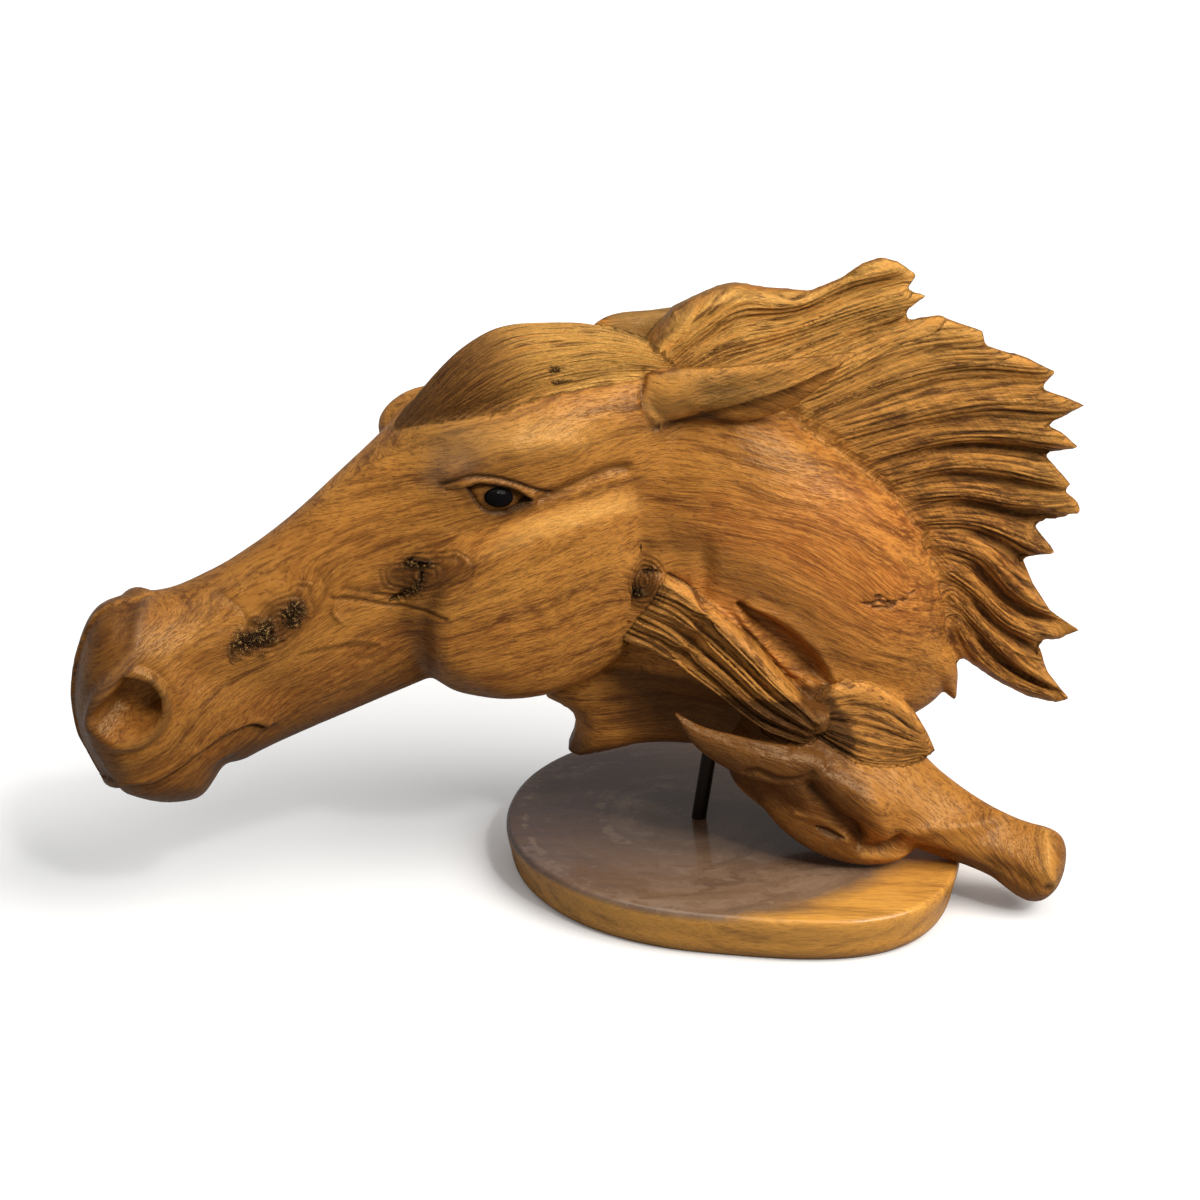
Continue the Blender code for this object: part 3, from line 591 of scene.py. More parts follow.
def foal_neck_mesh(voxel):
    """The foal's neck as a thick plate with a rounded edge."""
    points, faces, share = sheet(FOAL_NECK_EDGE, voxel)
    edge = path_distance(points[:, [0, 2]], FOAL_NECK_EDGE)[0]
    middle = through(FOAL_NECK_MIDDLE)(points[:, 0])
    thick = through(FOAL_NECK_THICK)(points[:, 0])
    points[:, 1] = middle + share * thick * rounded_edge(edge, FOAL_NECK_ROUNDING)
    return points, faces


class HairPatch:
    """A layer of carved locks. Its near surface lies at y near(x), moved back by lean for each
    millimetre above HAIR_LEVEL."""

    def __init__(self, edge, locks, near, lean, thick, relief):
        self.edge, self.locks = edge, locks
        self.near, self.lean = through(near), lean
        self.thick, self.relief = thick, relief

    def surface(self, points):
        """Middle's y, half thickness, and place across and along the locks."""
        flat = points[:, [0, 2]]
        across, along = lock_field(flat, self.locks)
        rim = path_distance(flat, self.edge + self.edge[:1])[0]
        swell = self.relief * np.cos(2 * math.pi * across) * ramp(along, 0.05, 0.5)
        middle = self.near(points[:, 0]) + self.lean * (points[:, 2] - HAIR_LEVEL) + self.thick
        half = (self.thick + swell) * rounded_edge(rim, HAIR_ROUNDING)
        return middle, half, across, along

    def mesh(self, voxel):
        points, faces, share = sheet(self.edge, voxel)
        middle, half, _, _ = self.surface(points)
        points[:, 1] = middle + share * half
        return points, faces


class Mane(HairPatch):
    """The mane as one sheet of wood: thick at its roots, thin at its tips, swollen at each lock."""

    def __init__(self):
        self.edge, self.locks = MANE_EDGE + MANE_ROOT, MANE_LOCKS

    def surface(self, points):
        flat = points[:, [0, 2]]
        across, along = lock_field(flat, self.locks)
        rim = path_distance(flat, MANE_EDGE)[0]
        swell = evenly(MANE_RELIEF)(along) * np.cos(2 * math.pi * across)
        swell *= 0.4 + 0.6 * ramp(across, 4, 7)
        thick = np.maximum(evenly(MANE_THICK)(along) + swell, 2.5)
        middle = MIDDLE + MANE_WAVE * np.sin(math.pi * across) * along**2
        return middle, thick * rounded_edge(rim, MANE_ROUNDING), across, along


# Foal's neck, under the horse's throat: a thick plate with a hollowed left end, as (x, z)
FOAL_NECK_EDGE = (
    (-93, 91), (-84, 86), (-79, 82), (-77.5, 76), (-79, 68), (-82, 61), (-76, 58), (-62, 61),
    (-47, 65), (-33, 66), (-19, 66), (-8, 62), (10, 56), (40, 62), (58, 90), (40, 120), (0, 134),
    (-50, 130), (-88, 104),
)
# Its middle's y and its half thickness, by x
FOAL_NECK_MIDDLE = ((-90, 4), (-60, 6), (-20, 6), (10, 0), (40, -14), (60, -20))
FOAL_NECK_THICK = ((-90, 16), (-60, 22), (-20, 25), (10, 28), (40, 28), (60, 24))
FOAL_NECK_ROUNDING = 14.0

# Foal's mane and forelock: the outline as (x, z), the middle lines of the locks, the near
# surface's y by x, how far it leans back, its thickness and the depth of its furrows
HAIR_LEVEL = 90.0
HAIR_ROUNDING = 5.0
FOAL_MANE = (
    (
        (-56, 172), (-38, 171), (-24, 164), (-8, 152), (8, 137), (22, 121), (34, 108), (45, 104),
        (44, 94), (30, 87), (12, 94), (-8, 109), (-27, 121), (-46, 130), (-62, 136), (-80, 140),
        (-76, 152),
    ),
    (
        ((-50, 169), (-23, 157), (-2, 140), (16, 122), (38, 101)),
        ((-58, 162), (-29, 149), (-6, 132), (13, 114), (36, 98)),
        ((-66, 154), (-36, 141), (-11, 124), (11, 106), (34, 95)),
        ((-74, 145), (-43, 133), (-16, 117), (9, 99), (32, 91)),
    ),
    ((-80, -24), (-50, -36), (-20, -46), (10, -55), (42, -59)), 0.0, 11.0, 2.2,
)
# The strands of its mane start at the cheek's edge
FOAL_MANE_CUTS = (
    (-33, 172), (-24, 165), (-8, 153), (8, 138), (22, 122), (34, 109), (46, 104), (44, 93), (30, 86),
    (12, 93), (-8, 108), (-27, 120), (-46, 128), (-61, 126), (-54, 136), (-47, 148), (-40, 158),
)
FOAL_FORELOCK = (
    (
        (34, 105), (42, 110), (52, 113), (64, 111.5), (77, 104), (84, 98.5), (90, 91.5), (95, 83.5),
        (98.5, 76.5), (92, 74.5), (82, 75), (70, 77), (57, 80.5), (45, 87), (32, 94),
    ),
    (
        ((36, 103), (58, 108), (78, 101), (92, 87)),
        ((34, 100), (57, 99.5), (77, 91.5), (94, 82)),
        ((33, 98), (54, 91), (74, 84), (94, 79)),
        ((32, 95.5), (48, 87), (66, 79.5), (90, 76)),
    ),
    ((30, -53.5), (45, -54), (57, -53.2), (70, -47), (82, -40.5), (92, -34), (98.5, -31.5)),
    0.77, 7.0, 0.8,
)

# Foal's near ear
FOAL_EAR = (
    ((-31, 107), (-18, 100), (1, 95), (20, 91), (40, 86)),
    ((-30, 105), (-21, 90), (-8, 80), (8, 73), (38, 66)),
    (-56, -58, -60, -56), (2, 4, 6, 9),
)
# A small pointed corner low at the back of the neck
NECK_CORNER = (
    ((96, 130), (108, 120), (113, 106), (113.5, 90)),
    ((88, 112), (97, 102), (104, 95), (112, 88)),
    (4, 3, 3, 3), (22, 18, 11, 4),
)


def join(forms):
    """One list of points and faces from several meshes."""
    points, faces, start = [], [], 0
    for these, those in forms:
        points.append(these)
        faces += [tuple(start + i for i in face) for face in those]
        start += len(these)
    return np.concatenate(points), faces


def broad_forms(horse, foal):
    """Heads, cheeks and neck, which flow into each other."""
    return [
        mesh_from_rings(head_rings(horse, HORSE_STATIONS)),
        mesh_from_rings(cheek_rings(horse)),
        mesh_from_rings(pebble_rings(horse, FAR_BROW_AT, FAR_BROW_HALF)),
        mesh_from_rings(neck_rings()),
        mesh_from_rings(head_rings(foal, FOAL_STATIONS)),
        mesh_from_rings(pebble_rings(foal_frame(0.0), FOAL_CHEEK_AT, FOAL_CHEEK_HALF)),
    ]


def hair_forms(horse, voxel):
    """Hair, ears and the foal's neck, which stand out more sharply."""
    ears = [blade(*EAR_OUTER), blade(*EAR_INNER)]
    return [
        mesh_from_rings(head_rings(horse, FORELOCK_STATIONS)),
        Mane().mesh(voxel),
        foal_neck_mesh(voxel),
        *ears,
        *(mirrored(ear, FAR_EAR_SHIFT) for ear in ears),
        HairPatch(*FOAL_MANE).mesh(voxel),
        HairPatch(*FOAL_FORELOCK).mesh(voxel),
        blade(*FOAL_EAR),
        blade(*NECK_CORNER),
    ]


def refined(points, quads, chosen):
    """Splits each chosen four-sided face in four. Its neighbours take in the new points on their edges."""
    count = len(points)
    split = quads[chosen]
    following = np.roll(split, -1, axis=1)
    keys = np.minimum(split, following) * count + np.maximum(split, following)
    edges, place = np.unique(keys, return_inverse=True)
    halfway = (points[edges // count] + points[edges % count]) / 2
    centres = points[split].mean(axis=1)
    on_edge = count + place.reshape(keys.shape)
    centre = count + len(edges) + np.arange(len(split))
    small = np.stack(
        [
            np.stack([split[:, i], on_edge[:, i], centre, on_edge[:, i - 1]], axis=1)
            for i in range(4)
        ],
        axis=1,
    ).reshape(-1, 4)
    rest = quads[~chosen]
    following = np.roll(rest, -1, axis=1)
    keys = np.minimum(rest, following) * count + np.maximum(rest, following)
    found = np.clip(np.searchsorted(edges, keys), 0, len(edges) - 1)
    touched = edges[found] == keys
    border = touched.any(axis=1)
    faces = [tuple(face) for face in np.concatenate([small, rest[~border]]).tolist()]
    for corners, hits, which in zip(rest[border], touched[border], found[border]):
        face = []
        for corner, hit, edge in zip(corners, hits, which):
            face.append(int(corner))
            if hit:
                face.append(count + int(edge))
        faces.append(tuple(face))
    return np.concatenate([points, halfway, centres]), faces


# Carved lines of the horse's face as (a, d): the two edges of the band over the cheek, which is
# painted with a highlight, then the crease from the eye, the brow and its hollow, and the cheek's rear
# edge, as Skin.draw takes them, then the front edge of the jowl as (d, a), and the mouth
BAND_LOW = ((20, -8), (27, -5), (43.6, 1.4), (62.8, 4.4), (92.7, 7.4), (114, 8.7), (130, 8))
BAND_HIGH = ((20, 6), (38, 11.5), (58, 15), (77, 19), (103, 17), (130, 14))
# The crease behind the eye and the cheek's rear edge carry painted shade, the brow's hollow a dusky tint
FACE_LINES = (
    (((66, 23), (54, 22), (39, 21), (31, 20), (22, 16)), 20, -2.4, 2.6, {"shade": (0.75, 2.4)}),
    (((98, 50), (86, 54), (72, 52), (58, 45), (44, 39)), 0, 2.2, 8.0, {}),
    (((103, 52), (97, 57), (89, 55)), 0, -1.6, 5.0, {"dusk": (0.9, 7.0)}),
    (((30, -40), (27, -30), (24.5, -16), (22, -2), (21, 8)), 20, -0.5, 4.0, {"shade": (0.2, 4.0)}),
)
JOWL_EDGE = ((-50, 145), (-43, 144), (-19, 138), (-0.7, 127.5), (8, 118))
MOUTH = ((303, -25), (291, -22), (281, -23.5), (270, -22.5), (258, -20.8), (241, -20.3), (229, -23),
         (225.5, -27.7))
# Along the nose: the chin's lump, and the notch behind it
CHIN_LUMP = 267.0
CHIN_NOTCH = 250.0
# Nostril's rim as (a, d), and the ridge between the muzzle's front and side as (a, d, |l|)
NOSTRIL = (
    (270.4, 32.0), (263.3, 26.0), (260.2, 16.5), (262.9, 8.5), (271.0, 2.9), (281.1, 1.9),
    (289.9, 5.3), (293.8, 11.3), (292.1, 18.6), (287.8, 22.6), (280.6, 26.5),
)
NOSTRIL_MIDDLE = (277.0, 15.5)
NOSTRIL_DEPTH = 19.0
MUZZLE_EDGE = (
    (244.7, 48.6, 3.8), (249.2, 48.3, 13.3), (255.3, 44.6, 22.6), (261.1, 38.5, 29.2),
    (268.9, 35.7, 33.0), (280.6, 29.3, 28.9), (290.2, 21.3, 26.6), (296.7, 14.1, 25.1),
)
# The border of the muzzle's front as (a, d), and corners ahead of it that close its outline
MUZZLE_BORDER = (*((a, d) for a, d, _ in MUZZLE_EDGE), (299, 2), (297, -18))
MUZZLE_AHEAD = ((330, -20), (330, 80), (242, 80))
SIDE_HOLLOW = ((244, 18), (230, 3), (210, -17))

# Eye: its place in the head and the turn of its slit; the opening's two edges, the crease of the
# upper lid and the bead's middle are drawn along and across the slit
EYE_AT = (82.5, 32.1)
EYE_TURN = math.radians(32)
EYE_CORNERS = (-15.6, 15.6)
EYE_UPPER = ((-15.6, 0.4), (-12.1, 2.0), (-5.3, 4.8), (1.6, 5.8), (6.9, 6.0), (12.1, 5.3), (15.6, 3.3))
EYE_LOWER = ((-15.6, 0.4), (-10.8, -3.2), (-4.6, -6.4), (-0.5, -7.5), (3.4, -7.4), (8.1, -5.4),
             (11.4, -2.4), (13.8, 0.6), (15.6, 3.3))
LID_CREASE = ((-24, 4.4), (-14, 6.2), (-7, 8.0), (0, 9.3), (8, 9.8), (16, 8.6), (22, 5.2), (27, 2.4))
TEAR_LINE = ((15.6, 3.3), (20, 1.6), (24, 0.6))
EYE_SIDE = 42.0
EYEBALL_LEVEL = 43.4
EYEBALL_CURVE = 42.0
BEAD_HALF = (7.0, 4.9, 4.0)
GIRDLE_WIDTH = 0.12

# Hair fainter than this has no place in the strands
LEAST_HAIR = 0.01
# What is noted at each point: how deep it lies in a groove, how much of it is hair, its place across
# and along the locks, and how much it takes of pitch, olive, a dusky tint that is partly painted sheen,
# pale wood and painted highlight, painted shade and the dark wood round knots, and an amber lift that
# is mostly painted light
MARKS = ("groove", "hair", "across", "along", "resin", "olive", "dusk", "bright", "shade", "amber_and_lit")


class Skin:
    """The carving's surface: how far each point moves along its normal, and marks for its colour."""

    def __init__(self, points, normals):
        self.points, self.normals = points, normals
        self.push = np.zeros(len(points))
        self.shift = np.zeros_like(points)
        self.marks = {name: np.zeros(len(points)) for name in MARKS}

    def near(self):
        """1 on what faces the viewer's side, 0 on the far side."""
        return ramp(-self.normals[:, 1], 0.0, 0.4) * ramp(MIDDLE - self.points[:, 1], 0, 10)

    def flat(self):
        return self.points[:, [0, 2]]

    def mark(self, name, value, where=slice(None)):
        """Raises a mark to a value where that is higher."""
        self.marks[name][where] = np.maximum(self.marks[name][where], value)

    def comb(self, strength, across, along, where, amount=1.0):
        """Marks strands of hair, and gives the points that carry them their place in the strands."""
        self.mark("hair", amount * strength, where)
        for name, place in (("across", across), ("along", along)):
            held = self.marks[name]
            held[where] = np.where(strength > LEAST_HAIR, place, held[where])

    def draw(self, flat, lines, strength, where=slice(None)):
        """Carves and marks a list of lines. Each has its path and the steps of its curve, 0 where it
        runs straight from point to point, the relief's height and width, and the strength and width
        of each mark."""
        for path, steps, height, width, marks in lines:
            distance = curve_distance(flat, path, steps) if steps else path_distance(flat, path)[0]
            self.push[where] += height * bump(distance, width) * strength
            for name, (amount, reach) in marks.items():
                self.mark(name, amount * bump(distance, reach) * strength, where)


def carve_face(skin, horse):
    """The cheek, the band over it, the crease behind the eye, the brow and the jowl's front edge."""
    a, d, l = horse.local(skin.points)
    flat = np.stack([a, d], axis=1)
    side = ramp(np.abs(l), 12, 22) * ramp(np.sign(l) * (skin.normals @ horse.far), 0.1, 0.5)
    from_centre = np.hypot(a - CHEEK_CENTRE[0], d - CHEEK_CENTRE[1])
    below, above = through(BAND_LOW)(a) - d, d - through(BAND_HIGH)(a)
    on_cheek = (1 - ramp(from_centre, 54, 66)) * side
    facet = np.clip(above / np.minimum(below + above, -1.0), 0, 1)
    skin.push += 2.6 * facet * on_cheek * ramp(-above, 0, 2)
    band = ramp(-below, -0.8, 0.8) * ramp(-above, -1, 5) * on_cheek * ramp(118 - a, 0, 62)
    # Painted highlight on the band over the cheek, where its facet faces the light
    skin.mark("bright", 1.15 * band * ramp(a, 8, 36))
    skin.mark("amber_and_lit", band * ramp(a, 8, 36))
    skin.draw(flat, FACE_LINES, side)
    front = a - through(JOWL_EDGE)(d)
    jowl = side * ramp(12 - d, 0, 12)
    skin.push += (1.2 * bump(front + 7, 6) - 2.4 * bump(front - 4, 5.5)) * jowl
    # Painted shade on the jaw along the jowl's front edge
    skin.mark("shade", 0.65 * bump(np.maximum(front, 0) - 2, 6) * ramp(front, -4, 0) * jowl)
    behind = ramp(60 - a, 0, 25) * ramp(-22 - d, 0, 18) * side
    skin.push -= 3.0 * bump(np.abs(from_centre - CHEEK_HALF[0] - 3), 4) * behind
    under = ramp(-30 - d, 0, 6) * ramp(-(skin.normals @ horse.dorsal), 0.0, 0.5)
    skin.push += (1.3 * bump(a - CHIN_LUMP, 7) - 2.6 * bump(a - CHIN_NOTCH, 6)) * under


def carve_eye(skin, horse):
    """The eyeball between its lids, the lid's crease and the tear line."""
    a, d, l = horse.local(skin.points)
    near = np.flatnonzero((np.hypot(a - EYE_AT[0], d - EYE_AT[1]) < 42) & (np.abs(l) > 15))
    s, t = turned(a[near], d[near], EYE_AT, EYE_TURN)
    flat = np.stack([s, t], axis=1)
    above, below = curve_distance(flat, EYE_UPPER, 30), curve_distance(flat, EYE_LOWER, 30)
    rim = np.minimum(above, below)
    inside = (
        (s > EYE_CORNERS[0]) & (s < EYE_CORNERS[1])
        & (t < through(EYE_UPPER)(s)) & (t > through(EYE_LOWER)(s))
    )
    depth = np.abs(l[near])
    ball = EYEBALL_LEVEL - (s**2 + t**2) / EYEBALL_CURVE - 1.0 * bump(rim, 0.9)
    crease = curve_distance(flat, LID_CREASE, 30)
    tear = path_distance(flat, TEAR_LINE)[0]
    push = 0.5 * bump(above - 1.4, 1.2) + 0.5 * bump(below - 1.8, 2.0)
    push -= 1.3 * bump(crease, 0.9) + 1.1 * bump(tear, 0.9)
    skin.push[near] += np.where(inside, 0.0, push)
    skin.push[near] = np.where(inside, ball - depth, skin.push[near])
    # Painted shade in the cuts of the opening, the lid's crease and the tear line, and more widely round
    # them
    skin.mark("groove", np.maximum(bump(rim, 0.9), bump(crease, 0.8)), near)
    skin.mark("groove", 0.7 * bump(tear, 0.8), near)
    skin.mark("shade", 0.5 * np.maximum(bump(rim, 3.5), bump(crease, 3.0)), near)
    # Painted shade on the eyeball round the bead
    bead = (np.hypot(s / BEAD_HALF[0], t / BEAD_HALF[1]) - 1) * BEAD_HALF[1]
    skin.mark("groove", 0.9 * bump(bead, 1.3) * inside, near)


def carve_nostril(skin, horse):
    """A deep opening that runs back into the muzzle, its rim, and the planes round it."""
    a, d, l = horse.local(skin.points)
    near = np.flatnonzero((a > 195) & (np.abs(l) > 2))
    a, d, l = a[near], d[near], l[near]
    flat = np.stack([a, d], axis=1)
    outward = np.sign(l)[:, None] * horse.far
    side = ramp((skin.normals[near] * outward).sum(axis=1), 0.0, 0.4)
    rim = smooth_path(NOSTRIL + NOSTRIL[:1], 48)
    away = path_distance(flat, rim)[0] * (1 - 2 * in_outline(flat, rim))
    hole = ramp(-away, -0.3, 5.0) * side
    inward = -0.72 * outward - 0.62 * horse.along + 0.18 * horse.dorsal
    chisel = Noise(41)(a / 1.6 + d / 5, d / 2.4)
    skin.shift[near] += ((NOSTRIL_DEPTH + 1.2 * (chisel - 0.5)) * hole)[:, None] * inward
    x, y = a - NOSTRIL_MIDDLE[0], d - NOSTRIL_MIDDLE[1]
    lower = ramp(-0.8 * x - 0.7 * y, -6, 8)
    lip = bump(away - 2.2, 2.0) * (0.5 + 1.3 * lower) - 0.8 * bump(away - 6.2, 1.4) * lower
    skin.push[near] += lip * side * ramp(away, -0.5, 1.0)
    skin.mark("olive", 0.8 * bump(away - 2.4, 2.2) * lower * side, near)
    # Painted shade inside the nostril, darkest towards its top and back
    skin.mark("shade", hole * (0.35 + 0.6 * ramp(0.9 * y - 0.8 * x, 0, 13)), near)
    edge = curve_distance(np.stack([a, d, np.abs(l)], axis=1), MUZZLE_EDGE, 24)
    outside = 1 - ramp(-away, -1, 1)
    skin.push[near] += 1.7 * bump(edge, 3.0) * outside
    # Painted sheen: a dusky grey tint along the ridge between the muzzle's front and side
    skin.mark("dusk", 0.85 * bump(edge, 4.0) * outside, near)
    border = path_distance(flat, MUZZLE_BORDER)[0]
    ahead = in_outline(flat, MUZZLE_BORDER + MUZZLE_AHEAD)
    front = ramp(border * (2 * ahead - 1), -0.5, 3.0) * outside
    skin.push[near] -= 1.2 * front * (1 - bump(edge, 4.0))
    # Painted shade on the muzzle's front plane, which faces away from the light
    skin.mark("shade", 0.8 * front * (1 - 0.6 * bump(edge, 2.5)), near)
    skin.push[near] -= 2.0 * bump(path_distance(flat, SIDE_HOLLOW)[0], 9) * side


def carve_mouth(skin, horse):
    """The mouth's line, with the upper lip standing over the lower."""
    a, d, l = horse.local(skin.points)
    near = np.flatnonzero((a > 212) & (d < 4) & (d > -52))
    flat = np.stack([a[near], d[near]], axis=1)
    path = smooth_path(MOUTH, 40)
    line = path_distance(flat, path)[0]
    side = ramp(np.abs(l[near]), 2, 8)
    over = ramp(d[near] - np.interp(a[near], path[::-1, 0], path[::-1, 1]), -1, 1.5)
    lips = 1.4 * bump(line - 2.6, 2.6) * over - 1.1 * bump(line - 2.5, 3.0) * (1 - over)
    skin.push[near] += (lips - 2.6 * bump(line, 1.0)) * side
    skin.mark("groove", bump(line, 0.9) * side, near)
    # Painted shade under the upper lip, below the mouth's line
    skin.mark("shade", 0.6 * bump(line, 4.0) * (1 - over) * side, near)


# Knots as (x, z), seen from the near side: middle, half sizes and turn of the rings, and how
# far the grain is pushed round them
KNOTS = (
    ((-214.0, 158.5), (21.0, 12.0), math.radians(40), 13.0),
    ((-147.0, 178.0), (24.0, 11.0), math.radians(14), 11.0),
    ((-44.0, 166.0), (10.0, 13.0), math.radians(-12), 7.0),
    ((73.0, 153.5), (22.0, 13.0), math.radians(-8), 6.0),
    ((-35.0, 250.0), (8.0, 11.0), math.radians(0), 4.0),
)
RESIN_POOLS = (
    ((-222.5, 152.0), (13.0, 7.5), math.radians(30)),
    ((-208.0, 161.0), (8.0, 5.5), math.radians(40)),
    ((-151.0, 183.0), (8.0, 3.2), math.radians(12)),
    ((-41.3, 170.0), (3.2, 2.8), 0.0),
    ((-47.0, 161.0), (5.0, 3.4), math.radians(20)),
    ((-46.8, 182.6), (1.2, 3.4), math.radians(10)),
)
CRESCENT = ((-149.0, 181.0), (-148.0, 177.0), (-150.5, 172.0), (-156.0, 168.0), (-163.0, 164.5))
CRESCENT_WIDTH = (1.0, 2.0, 2.8, 2.4, 0.8)
# Wrinkles and fine lines as (x, z), each with its depth and how dark it is
WRINKLES = (
    (((-190, 168), (-176, 165.8), (-166, 162.5), (-152, 161.5), (-137, 158)), 1.1, 0.75),
    (((-184, 172), (-170, 168.5), (-158, 166)), 0.8, 0.5),
    (((-187, 168), (-189, 161), (-186, 156)), -1.4, 0.0),
    (((-196, 144), (-184, 146), (-172, 144.5), (-167, 141), (-172, 137.5)), -0.9, 0.0),
    (((-205, 141), (-196, 142), (-184, 143), (-174, 141)), 0.7, 0.3),
    (((-180, 136), (-172, 135), (-165, 138)), 0.6, 0.25),
    (((-240, 172), (-231, 166), (-227, 158), (-232, 149)), 0.4, 0.45),
    (((-196, 182), (-192, 172), (-198, 160), (-208, 150)), 0.4, 0.4),
    (((80, 171), (90, 163), (96, 152), (95, 140)), 0.3, 0.4),
    (((84, 168), (92, 158), (93, 146)), 0.25, 0.3),
)
NECK_CRACKS = (
    ((57.0, 154.6), (60.0, 154.1), (64.0, 153.2), (68.0, 154.4), (71.5, 152.6), (74.7, 152.1),
     (78.0, 153.3), (80.8, 152.4), (86.0, 152.1)),
    ((66.0, 156.8), (70.0, 155.6), (73.0, 153.2)),
    ((64.5, 151.6), (69.0, 151.0), (73.2, 150.2), (77.0, 151.6)),
    ((83.0, 154.2), (86.5, 155.6)),
)
# How many of the knots have rings, how many are carved finely, and the rings in a half size
RINGED_KNOTS = 3
FINE_KNOTS = 4
KNOT_RINGS = 5.5
CRACK_REACH = 2.5
FORELOCK_MARKS = ((-85.5, 268.5), (-84.0, 262.0))
FORELOCK_MARK_HALF = (4.4, 1.7)


def carve_knots(skin):
    """Pitted knots with their rings, the crescent beside one, wrinkles and the neck's crack."""
    flat, facing, pits = skin.flat(), skin.near(), Noise(5)
    x, z = flat.T
    for centre, half, turn, _ in KNOTS[:RINGED_KNOTS]:
        share = oval_share(x, z, centre, half, turn) + 0.22 * (pits(x / 6, z / 6) - 0.5)
        within = (1 - ramp(share, 0.85, 1.3)) * facing
        rings = np.cos((share + 0.16 * pits(x / 9, z / 9)) * KNOT_RINGS * 2 * math.pi)
        skin.push += 0.3 * rings * within
        skin.mark("groove", 0.4 * ramp(-rings, 0.3, 0.95) * within)
        skin.mark("shade", 0.95 * (1 - ramp(share, 0.35, 1.35)) * facing)
    for centre, half, turn in RESIN_POOLS:
        share = oval_share(x, z, centre, half, turn) + 0.9 * (pits(x / 3.4 + 40, z / 3.4) - 0.5)
        pool = (1 - ramp(share, 0.35, 1.2)) * facing
        rough = pits(x / 1.4, z / 1.4) - 0.45
        skin.push -= (0.6 + 2.2 * rough) * pool
        skin.mark("resin", pool)
    distance, along = path_distance(flat, smooth_path(CRESCENT, 24))
    width = evenly(CRESCENT_WIDTH)(along) * (0.6 + 0.8 * pits(x / 2, z / 2))
    pool = bump(distance, width) * facing
    skin.push -= 2.2 * pool
    skin.mark("resin", 0.9 * ramp(pool, 0.3, 0.9))
    for path, depth, dark in WRINKLES:
        line = bump(curve_distance(flat, path, 16), 1.0) * facing
        skin.push -= depth * line
        skin.mark("groove", dark * line)
    wander = 1.4 * (pits(x / 2.5, z / 2.5) - 0.5)
    for path in NECK_CRACKS:
        distance, along = path_distance(flat, path)
        crack = bump(np.abs(distance + wander), 0.3 + 0.5 * np.sin(math.pi * along)) * facing
        crack *= distance < CRACK_REACH
        skin.push -= 1.3 * crack
        skin.mark("groove", 0.85 * crack)
    for centre in FORELOCK_MARKS:
        away = oval_share(x, z, centre, FORELOCK_MARK_HALF) + 0.8 * (pits(x / 1.6, z / 1.6 + 20) - 0.5)
        skin.mark("resin", 0.9 * (1 - ramp(away, 0.6, 1.0)) * facing)


# Hollow of the foal's far ear, which lies back on the horse's neck: its middle line as (x, z)
FAR_EAR = ((45, 112), (34, 124), (19, 139), (0, 155))
FAR_EAR_HALF = (4.0, 8.0, 9.0, 7.0, 2.0)


def carve_far_ear(skin):
    """The hollow of the foal's far ear and the rim round it."""
    distance, along = path_distance(skin.flat(), smooth_path(FAR_EAR, 20))
    half = evenly(FAR_EAR_HALF)(along)
    near = ramp(-skin.normals[:, 1], 0.1, 0.4)
    rim = 2.4 * bump((distance - half) / 3.5, 1)
    share, start = distance / half, ramp(along, 0.02, 0.2)
    hollow = 5.0 * (1 - ramp(share, 0.1, 1.0)) * start
    skin.push += (rim * (1 - ramp(along, 0.9, 1.0)) - hollow) * near
    # Painted shade in the hollow of the far ear
    skin.mark("shade", 0.6 * (1 - ramp(share, 0.4, 1.0)) * near * start)


# Foal's face as (x, z), seen from the near side: the hollow before its brow, its eye, its nostril,
# and the edges that catch the light: its eyelid, a strip behind its jaw and its muzzle's ridge
FOAL_HOLLOW = ((35, 71), (40, 64), (47, 55), (55, 49), (59.5, 43.5))
FOAL_HOLLOW_HALF = (3.5, 5.5, 6.5, 6.0, 3.5)
FOAL_EYE = ((38.5, 48.5), (42, 46.8), (46, 45.0), (52, 43.0))
FOAL_NOSTRIL = (151.6, 19.5)
FOAL_LID = ((28.8, 55.0), (34.4, 54.4), (40, 52.5), (47, 48.0), (53.5, 42.5))
FOAL_STRIP = ((62, 33.5), (72, 32.6), (83, 32.8))
FOAL_RIDGE = ((152, 48), (151, 38), (151, 28), (154, 20))
# Its lines as Skin.draw takes them: those edges, the brow and the line below it, the edge below
# the nose, the jaw, the edge of the near ear's root, the ear's fold and the muzzle's hollow
# The shade marks of these lines are painted shade: below the brow, along the jaw, at the ear's root and
# fold, in the muzzle's hollow
FOAL_LINES = (
    (FOAL_LID, 20, 1.2, 2.0, {}),
    (FOAL_STRIP, 20, 1.2, 2.5, {}),
    (FOAL_RIDGE, 20, 1.4, 2.2, {}),
    (((42, 76), (52, 71), (62, 64), (68, 56), (71, 48)), 20, 3.4, 6.5, {}),
    (((60, 38.5), (66, 38), (73, 39.5), (79, 44)), 20, -2.6, 3.0, {"shade": (0.8, 3.5)}),
    (((82, 46.5), (96, 47.5), (112, 47), (130, 48)), 20, 1.8, 3.0, {}),
    (((84, 34), (96, 33), (108, 30), (118, 25), (126, 21)), 20, -2.2, 4.0, {"shade": (0.65, 4.0)}),
    (
        ((4, 78), (9, 79.5), (14, 77), (21, 74.5), (29, 75), (35, 78)), 20, -2.4, 1.8,
        {"shade": (0.7, 2.0)},
    ),
    (((-26, 103), (-12, 98), (0, 93), (14, 90), (24, 89)), 20, -1.0, 2.0, {"shade": (0.4, 1.8)}),
    (((124, 30), (132, 27.5), (141, 23)), 20, -2.2, 4.0, {"shade": (0.5, 4.5)}),
)


